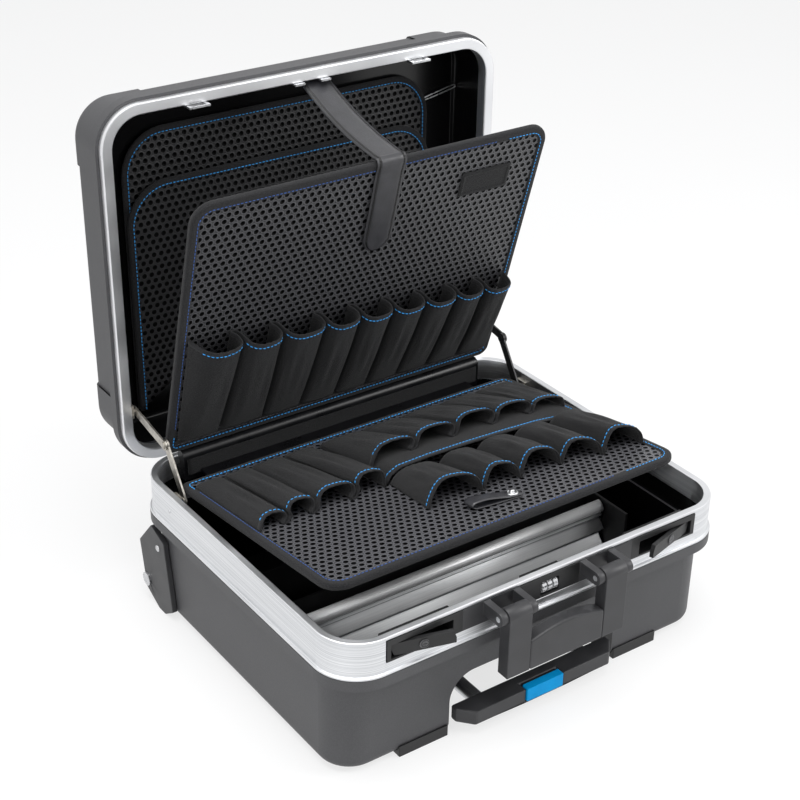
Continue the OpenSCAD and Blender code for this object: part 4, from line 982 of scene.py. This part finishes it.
def document_pocket(name, top, depth, node):
    """A pitted sheet with round top corners, taped and stitched along its edge."""
    half, foot, r = 196, 181, 50
    a = np.radians(np.linspace(0, 90, 16))
    right = np.stack([half - r + r * np.cos(a), top - r + r * np.sin(a)], -1)
    rise = np.stack([np.full(24, half), np.linspace(foot, top - r, 25)[:-1]], -1)
    left = (right * [-1, 1])[::-1]
    flat = np.stack([np.linspace(half - r, r - half, 30)[1:-1], np.full(28, top)], -1)
    line = np.concatenate([rise, right, flat, left, (rise * [-1, 1])[::-1]])
    middle = np.array([0, (top + foot) / 2])
    rings = np.linspace(1, 0.02, 24)
    plan = middle + (line - middle)[None] * rings[:, None, None]
    bow = 2.0 * (1 - rings ** 2)
    grid = lid_wall(plan[..., 0], plan[..., 1], depth + bow[:, None] + 0 * plan[..., 0])
    sheet = thick_sheet(name, grid, 1.2 * MM, LID_SHEET, "lid")
    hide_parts(node)
    inward = unit(np.stack([-np.gradient(line[:, 1]), np.gradient(line[:, 0])], -1))
    path, seam = line + inward * 4, line + inward * 6.2
    edge = lid_wall(path[:, 0], path[:, 1], depth + 0.4)
    side = lid_wall(inward[:, 0], inward[:, 1], 0.0) - lid_wall(0.0, 0.0, 0.0)
    front = np.repeat([[0.0, -1.0, 0.0]], len(line), 0)
    tape = sweep(name + "_tape", edge, unit(side), front, round_profile(9 * MM, 3.0 * MM, 12, 3.0),
                 TAPE, "lid")
    rows = [(lid_wall(seam[:, 0], seam[:, 1], depth + 1.95), front)]
    stitches(name + "_stitches", rows, BLUE_THREAD, "lid", length=3.0 * MM, r=0.5 * MM)


document_pocket("rear_document_sheet", 504, 4.5, "document_pocket_rear")
document_pocket("front_document_sheet", 448, 10.5, "document_pocket_front")


# ------------------------------------------------------------------ metal rail and small hardware
def chamfered(points, cut):
    """A polyline whose corners are each replaced by two points, cut away from the corner."""
    points = np.asarray(points, float)
    before, after = np.roll(points, 1, axis=0) - points, np.roll(points, -1, axis=0) - points
    sides = [points + np.minimum(cut, 0.45 * np.linalg.norm(d, axis=1, keepdims=True)) * unit(d)
             for d in (before, after)]
    return np.stack(sides, 1).reshape(-1, 2)


def rail_profile():
    """Extruded divider rail: slanted bands between small steps and a round top, drawn along x."""
    section = [(0, 40), (0, 51), (-9, 52), (-10, 54), (1.5, 67.8), (1.8, 70), (-3.6, 71.2),
               (-0.8, 74.6), (-1.4, 76), (-8, 77), (2.5, 89.6), (2.6, 91.6), (-3.4, 92.6),
               (-0.6, 96), (-1.2, 97.6), (-4.6, 99.4), (-5, 102.5), (-3.4, 106), (0, 108.8),
               (3.4, 110), (6, 109.4), (7, 107), (7, 40)]
    line = chamfered(chamfered(section, 0.7), 0.25)
    path = case_point(np.linspace(*RAIL_ENDS, 3), np.full(3, RAIL_Y), np.zeros(3))
    side, up = [np.repeat([axis], 3, 0) for axis in ((0.0, 1.0, 0.0), (0.0, 0.0, 1.0))]
    rail = sweep("extruded_rail", path, side, up, line * MM, RAIL_METAL, "base")
    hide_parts("divider_rail")


rail_profile()


def rivet(name, x, y, z, axis, r, height, body):
    """Domed rivet head on a face whose outward direction is axis."""
    profile = [(r, 0), (r, 0.25 * height), (0.86 * r, 0.7 * height), (0.5 * r, 0.95 * height),
               (0.08 * r, height)]
    turned(name, case_point(x * 1.0, y * 1.0, z * 1.0), axis, (0, 0, 1), profile, body, 18)


for tag, sign in (("left", -1), ("right", 1)):
    rivet("housing_rivet_" + tag, sign * 247, -44, 83, (sign, 0, 0), 4.0, 1.4, "base")
    rivet("band_rivet_" + tag, sign * 245, -74, 146, (sign, 0, 0), 2.2, 0.8, "base")


def carrier_strip():
    """Loop fastener glued along the front of the pallets' carrier."""
    x = np.linspace(-196, 196, 80)
    path = case_point(x, 0 * x - 27.9, 0 * x + 160.0)
    front = np.repeat([[0.0, -1.0, 0.0]], len(x), 0)
    up = np.repeat([[0.0, 0.0, 1.0]], len(x), 0)
    sweep("carrier_strip", path, up, front, round_profile(20 * MM, 1.6 * MM, 16, 4.0), LOOP_PATCH,
          "base")


carrier_strip()


def rounded_plate(name, centre, half_x, half_y, r, thick, material, body):
    """A flat plate with round corners, its outline swept inwards to a soft edge."""
    a = np.radians(np.linspace(0, 90, 8))
    corner = np.stack([np.cos(a), np.sin(a)], -1)
    rings = []
    for grow, height in ((0, 0), (0, 0.6), (-0.4, 1.0), (-3.0, 1.0)):
        line = []
        for sx, sy in ((1, 1), (-1, 1), (-1, -1), (1, -1)):
            middle = np.array([half_x - r, half_y - r]) + corner * max(r + grow, 0.4)
            part = (middle + min(grow, 0) * 0.2) * [sx, sy]
            line.append(part if sx * sy > 0 else part[::-1])
        line = np.concatenate(line)
        rings.append(centre + np.c_[line, np.full(len(line), height * thick)] * MM)
    grid = np.stack(rings, 1)
    ends = [grid[:, 0].mean(0), grid[:, -1].mean(0)]
    end_capped(name, grid, ends, material, body, smooth=False)


def lid_label():
    """Blank name plate let into the lid's top wall, with a blue field at one end."""
    bpy.context.view_layer.update()
    start = case_point(-7.0, 63.0, 700.0)
    hit, place, _, _ = nodes["lid_shell"].ray_cast(Vector(start), Vector((0, 0, -1)))
    top = place.z if hit else start[2]
    middle = np.array([start[0], start[1], top - 0.1 * MM])
    for part, shift, size, material in (
            ("frame", (0, 0, 0), (31, 9, 2.5, 0.5), GREY_PLASTIC),
            ("plate", (0, 0, 0.3), (27, 7, 1.5, 0.5), DARK_METAL),
            ("field", (-9.0, 0, 0.7), (8, 6, 1.0, 0.4), NAME_BLUE)):
        rounded_plate("label_" + part, middle + np.array(shift) * MM, *size, material, "lid")


lid_label()


def wire_clip():
    """Bent spring wire on the lid's side wall, which keeps papers in the pockets."""
    bend = through([(188, 86, 470), (207.7, 85, 474.6), (228.6, 84.5, 479), (235.6, 84.5, 479.6),
                    (236.6, 84.5, 477), (230.9, 85, 475.2), (212, 86, 471), (191.7, 87, 467.4)], 60)
    path = case_point(bend[:, 0], bend[:, 1], bend[:, 2])
    along = unit(np.gradient(path, axis=0))
    side = unit(np.cross(along, np.repeat([[0.0, 1.0, 0.3]], len(path), 0)))
    sweep("wire_clip", path, side, np.cross(side, along), round_profile(1.6 * MM, 1.6 * MM, 8, 2.0),
          STEEL, "lid")


wire_clip()


# ------------------------------------------------------------------ carried-over parts
def paint(material, *names):
    """Gives CAD nodes a material that says what they are made of."""
    for name in names:
        node = nodes[name]
        node.data.materials.clear()
        node.data.materials.append(material)


def soften(width, *names):
    """Rounds the edges of CAD nodes over a small width in metres."""
    for name in names:
        node = nodes[name]
        weld = node.modifiers.new("weld", "WELD")
        weld.merge_threshold = 1e-6
        edge = node.modifiers.new("edge", "BEVEL")
        edge.width = width
        edge.segments = 2
        edge.limit_method = "ANGLE"
        edge.angle_limit = radians(40)
        edge.harden_normals = False


paint(LID_PLASTIC, "lid_shell")
paint(BASE_PLASTIC, "base_shell")
paint(BASE_RIM_METAL, "base_rim")
paint(LID_RIM_METAL, "lid_rim")
paint(TUBE_METAL, "trolley_outer_tubes", "trolley_mid_tubes", "trolley_inner_tubes")
# Painted shade: the right stay's links get black plastic, unlike the left's steel, as the lid
# shades them.
paint(BLACK_PLASTIC, "latch_plate_left", "latch_plate_right", "lock_plate", "latch_lever_left",
      "latch_lever_right", "divider_boards", "floor_plate", "front_feet", "tube_saddles",
      "stay_lower_right", "stay_upper_right", "hinge_base_leaves")
paint(GREY_PLASTIC, "handle_bracket_left", "handle_bracket_right", "handle_arm_left",
      "handle_arm_right", "handle_grip", "wheel_housing_left", "wheel_housing_right",
      "trolley_grip")
paint(STEEL, "handle_pins", "wheel_axles", "hinge_lid_leaves", "hinge_pins", "catch_loops")
paint(STAY_STEEL, "stay_upper_left", "stay_lower_left", "stay_base_brackets", "stay_lid_brackets")
paint(lock_cylinder_metal("dark_lock_cylinder"), "key_cylinder_left", "key_cylinder_right")
paint(digit_wheel_enamel("lock_digit_wheel"), "digit_wheel_1", "digit_wheel_2", "digit_wheel_3")
paint(GLOSS_PLASTIC, "pallet_carrier")
paint(RUBBER, "wheel_left", "wheel_right")
paint(BLUE_PLASTIC, "trolley_button")
paint(UPPER_SHEET, "upper_panel")
paint(LOWER_SHEET, "lower_panel")
soften(1.2 * MM, "base_rim", "lid_rim")
soften(2.2 * MM, "handle_arm_left", "handle_arm_right", "handle_grip", "trolley_grip")
soften(1.0 * MM, "wheel_housing_left", "wheel_housing_right", "front_feet", "trolley_button")
soften(0.5 * MM, "latch_plate_left", "latch_plate_right", "lock_plate", "latch_lever_left",
       "latch_lever_right", "handle_bracket_left", "handle_bracket_right")


# ------------------------------------------------------------------ camera, floor and light
def case_camera():
    """The camera: a long lens out from the case's front left corner, 30 degrees above the floor."""
    azimuth, elevation, roll = radians(-35.82), radians(30.48), radians(1.03)
    width, focal = 800, 1660.4  # of the render, in pixels
    back = Vector((sin(azimuth) * cos(elevation), -cos(azimuth) * cos(elevation), sin(elevation)))
    right = Vector((cos(azimuth), sin(azimuth), 0))
    up = back.cross(right)
    right, up = right * cos(roll) + up * sin(roll), up * cos(roll) - right * sin(roll)
    middle = Vector((0, REAR, 6 * MM))
    place = middle + (91.7 * right + 89.1 * up + 1996.7 * back) * MM
    data = bpy.data.cameras.new("camera")
    data.sensor_width = 36
    data.lens = data.sensor_width * focal / width
    data.shift_x, data.shift_y = -3.3 / width, 46.1 / width
    data.clip_end = 50
    camera = bpy.data.objects.new("camera", data)
    axes = Matrix((right, up, back)).transposed().to_4x4()
    camera.matrix_world = Matrix.Translation(place) @ axes
    bpy.context.scene.collection.objects.link(camera)
    bpy.context.scene.camera = camera


def seen_white(node):
    """1 for what the camera sees directly or in polished and clear surfaces, 0 for lighting."""
    rays = node("LightPath").node.outputs
    seen = node("Math", {0: rays["Is Camera Ray"], 1: rays["Is Glossy Ray"]}, operation="MAXIMUM")
    return node("Math", {0: seen, 1: rays["Is Transmission Ray"]}, operation="MAXIMUM")


def floor_material():
    """Pale studio floor: it keeps the shadows faint where the camera sees it."""
    material, shader, node = new_material("studio_floor")
    cloud = node("TexNoise", {"Vector": node("TexCoord", out="Object"), "Scale": 1 / (500 * MM)})
    paint_tone = node("Mix", {0: cloud, 6: "f2f2f2", 7: "f6f6f6"}, **COLOUR)
    connect(shader, {"Base Color": paint_tone, "Roughness": 0.9})
    glow = node("Emission", {"Color": "ffffff", "Strength": 1.0})
    share = node("Math", {0: seen_white(node), 1: 0.72}, operation="MULTIPLY")
    output = material.node_tree.get_output_node("ALL")
    connect(output, {"Surface": node("MixShader", {0: share, 1: shader.outputs[0], 2: glow})})
    return material


def studio_floor():
    """A wide disc just under the case, rising gently at its far edge."""
    rings, sides, drop = 30, 64, 0.3 * MM
    r, a = np.meshgrid(np.linspace(0.02, 6, rings), np.linspace(0, 2 * pi, sides, endpoint=False),
                       indexing="ij")
    z = 0.02 * np.clip(r - 3, 0, None) ** 2 - drop
    grid = np.stack([r * np.cos(a), r * np.sin(a), z], -1)
    verts = np.concatenate([grid.reshape(-1, 3), [[0, 0, -drop]]])
    j = np.arange(sides)
    hub = np.stack([j, (j + 1) % sides, np.full(sides, len(verts) - 1)], -1)
    mesh = bpy.data.meshes.new("floor")
    mesh.from_pydata(verts.tolist(), [], quads(rings, sides, False, True).tolist() + hub.tolist())
    mesh.materials.append(floor_material())
    floor = bpy.data.objects.new("floor", mesh)
    bpy.context.scene.collection.objects.link(floor)


def soft_light(name, place, target, size, power):
    """A white softbox at a place, turned to its target; size is its width and height in metres."""
    data = bpy.data.lights.new(name, "AREA")
    data.shape = "RECTANGLE"
    data.size, data.size_y = size
    data.energy = power
    light = bpy.data.objects.new(name, data)
    light.location = place
    light.rotation_euler = (Vector(target) - Vector(place)).to_track_quat("-Z", "Y").to_euler()
    bpy.context.scene.collection.objects.link(light)


def studio_world():
    """White all round for the camera, softer for the light it gives."""
    world = bpy.data.worlds.new("studio")
    world.use_nodes = True
    world.node_tree.nodes.clear()
    node = partial(add, world.node_tree)
    dim = node("Background", {"Color": "f4f6f8", "Strength": 0.55})
    white = node("Background", {"Color": "ffffff", "Strength": 1.0})
    node("OutputWorld", {"Surface": node("MixShader", {0: seen_white(node), 1: dim, 2: white})})
    bpy.context.scene.world = world


case_camera()
studio_floor()
studio_world()
soft_light("top_softbox", (-0.3, -0.2, 2.4), (0, 0, 0.2), (1.8, 1.4), 44)
soft_light("left_softbox", (-2.2, -1.2, 1.5), (0, 0, 0.25), (1.2, 1.8), 18)
soft_light("right_softbox", (1.9, -1.5, 1.5), (0, 0, 0.25), (1.0, 1.4), 30)
bpy.context.scene.view_settings.view_transform = "Standard"
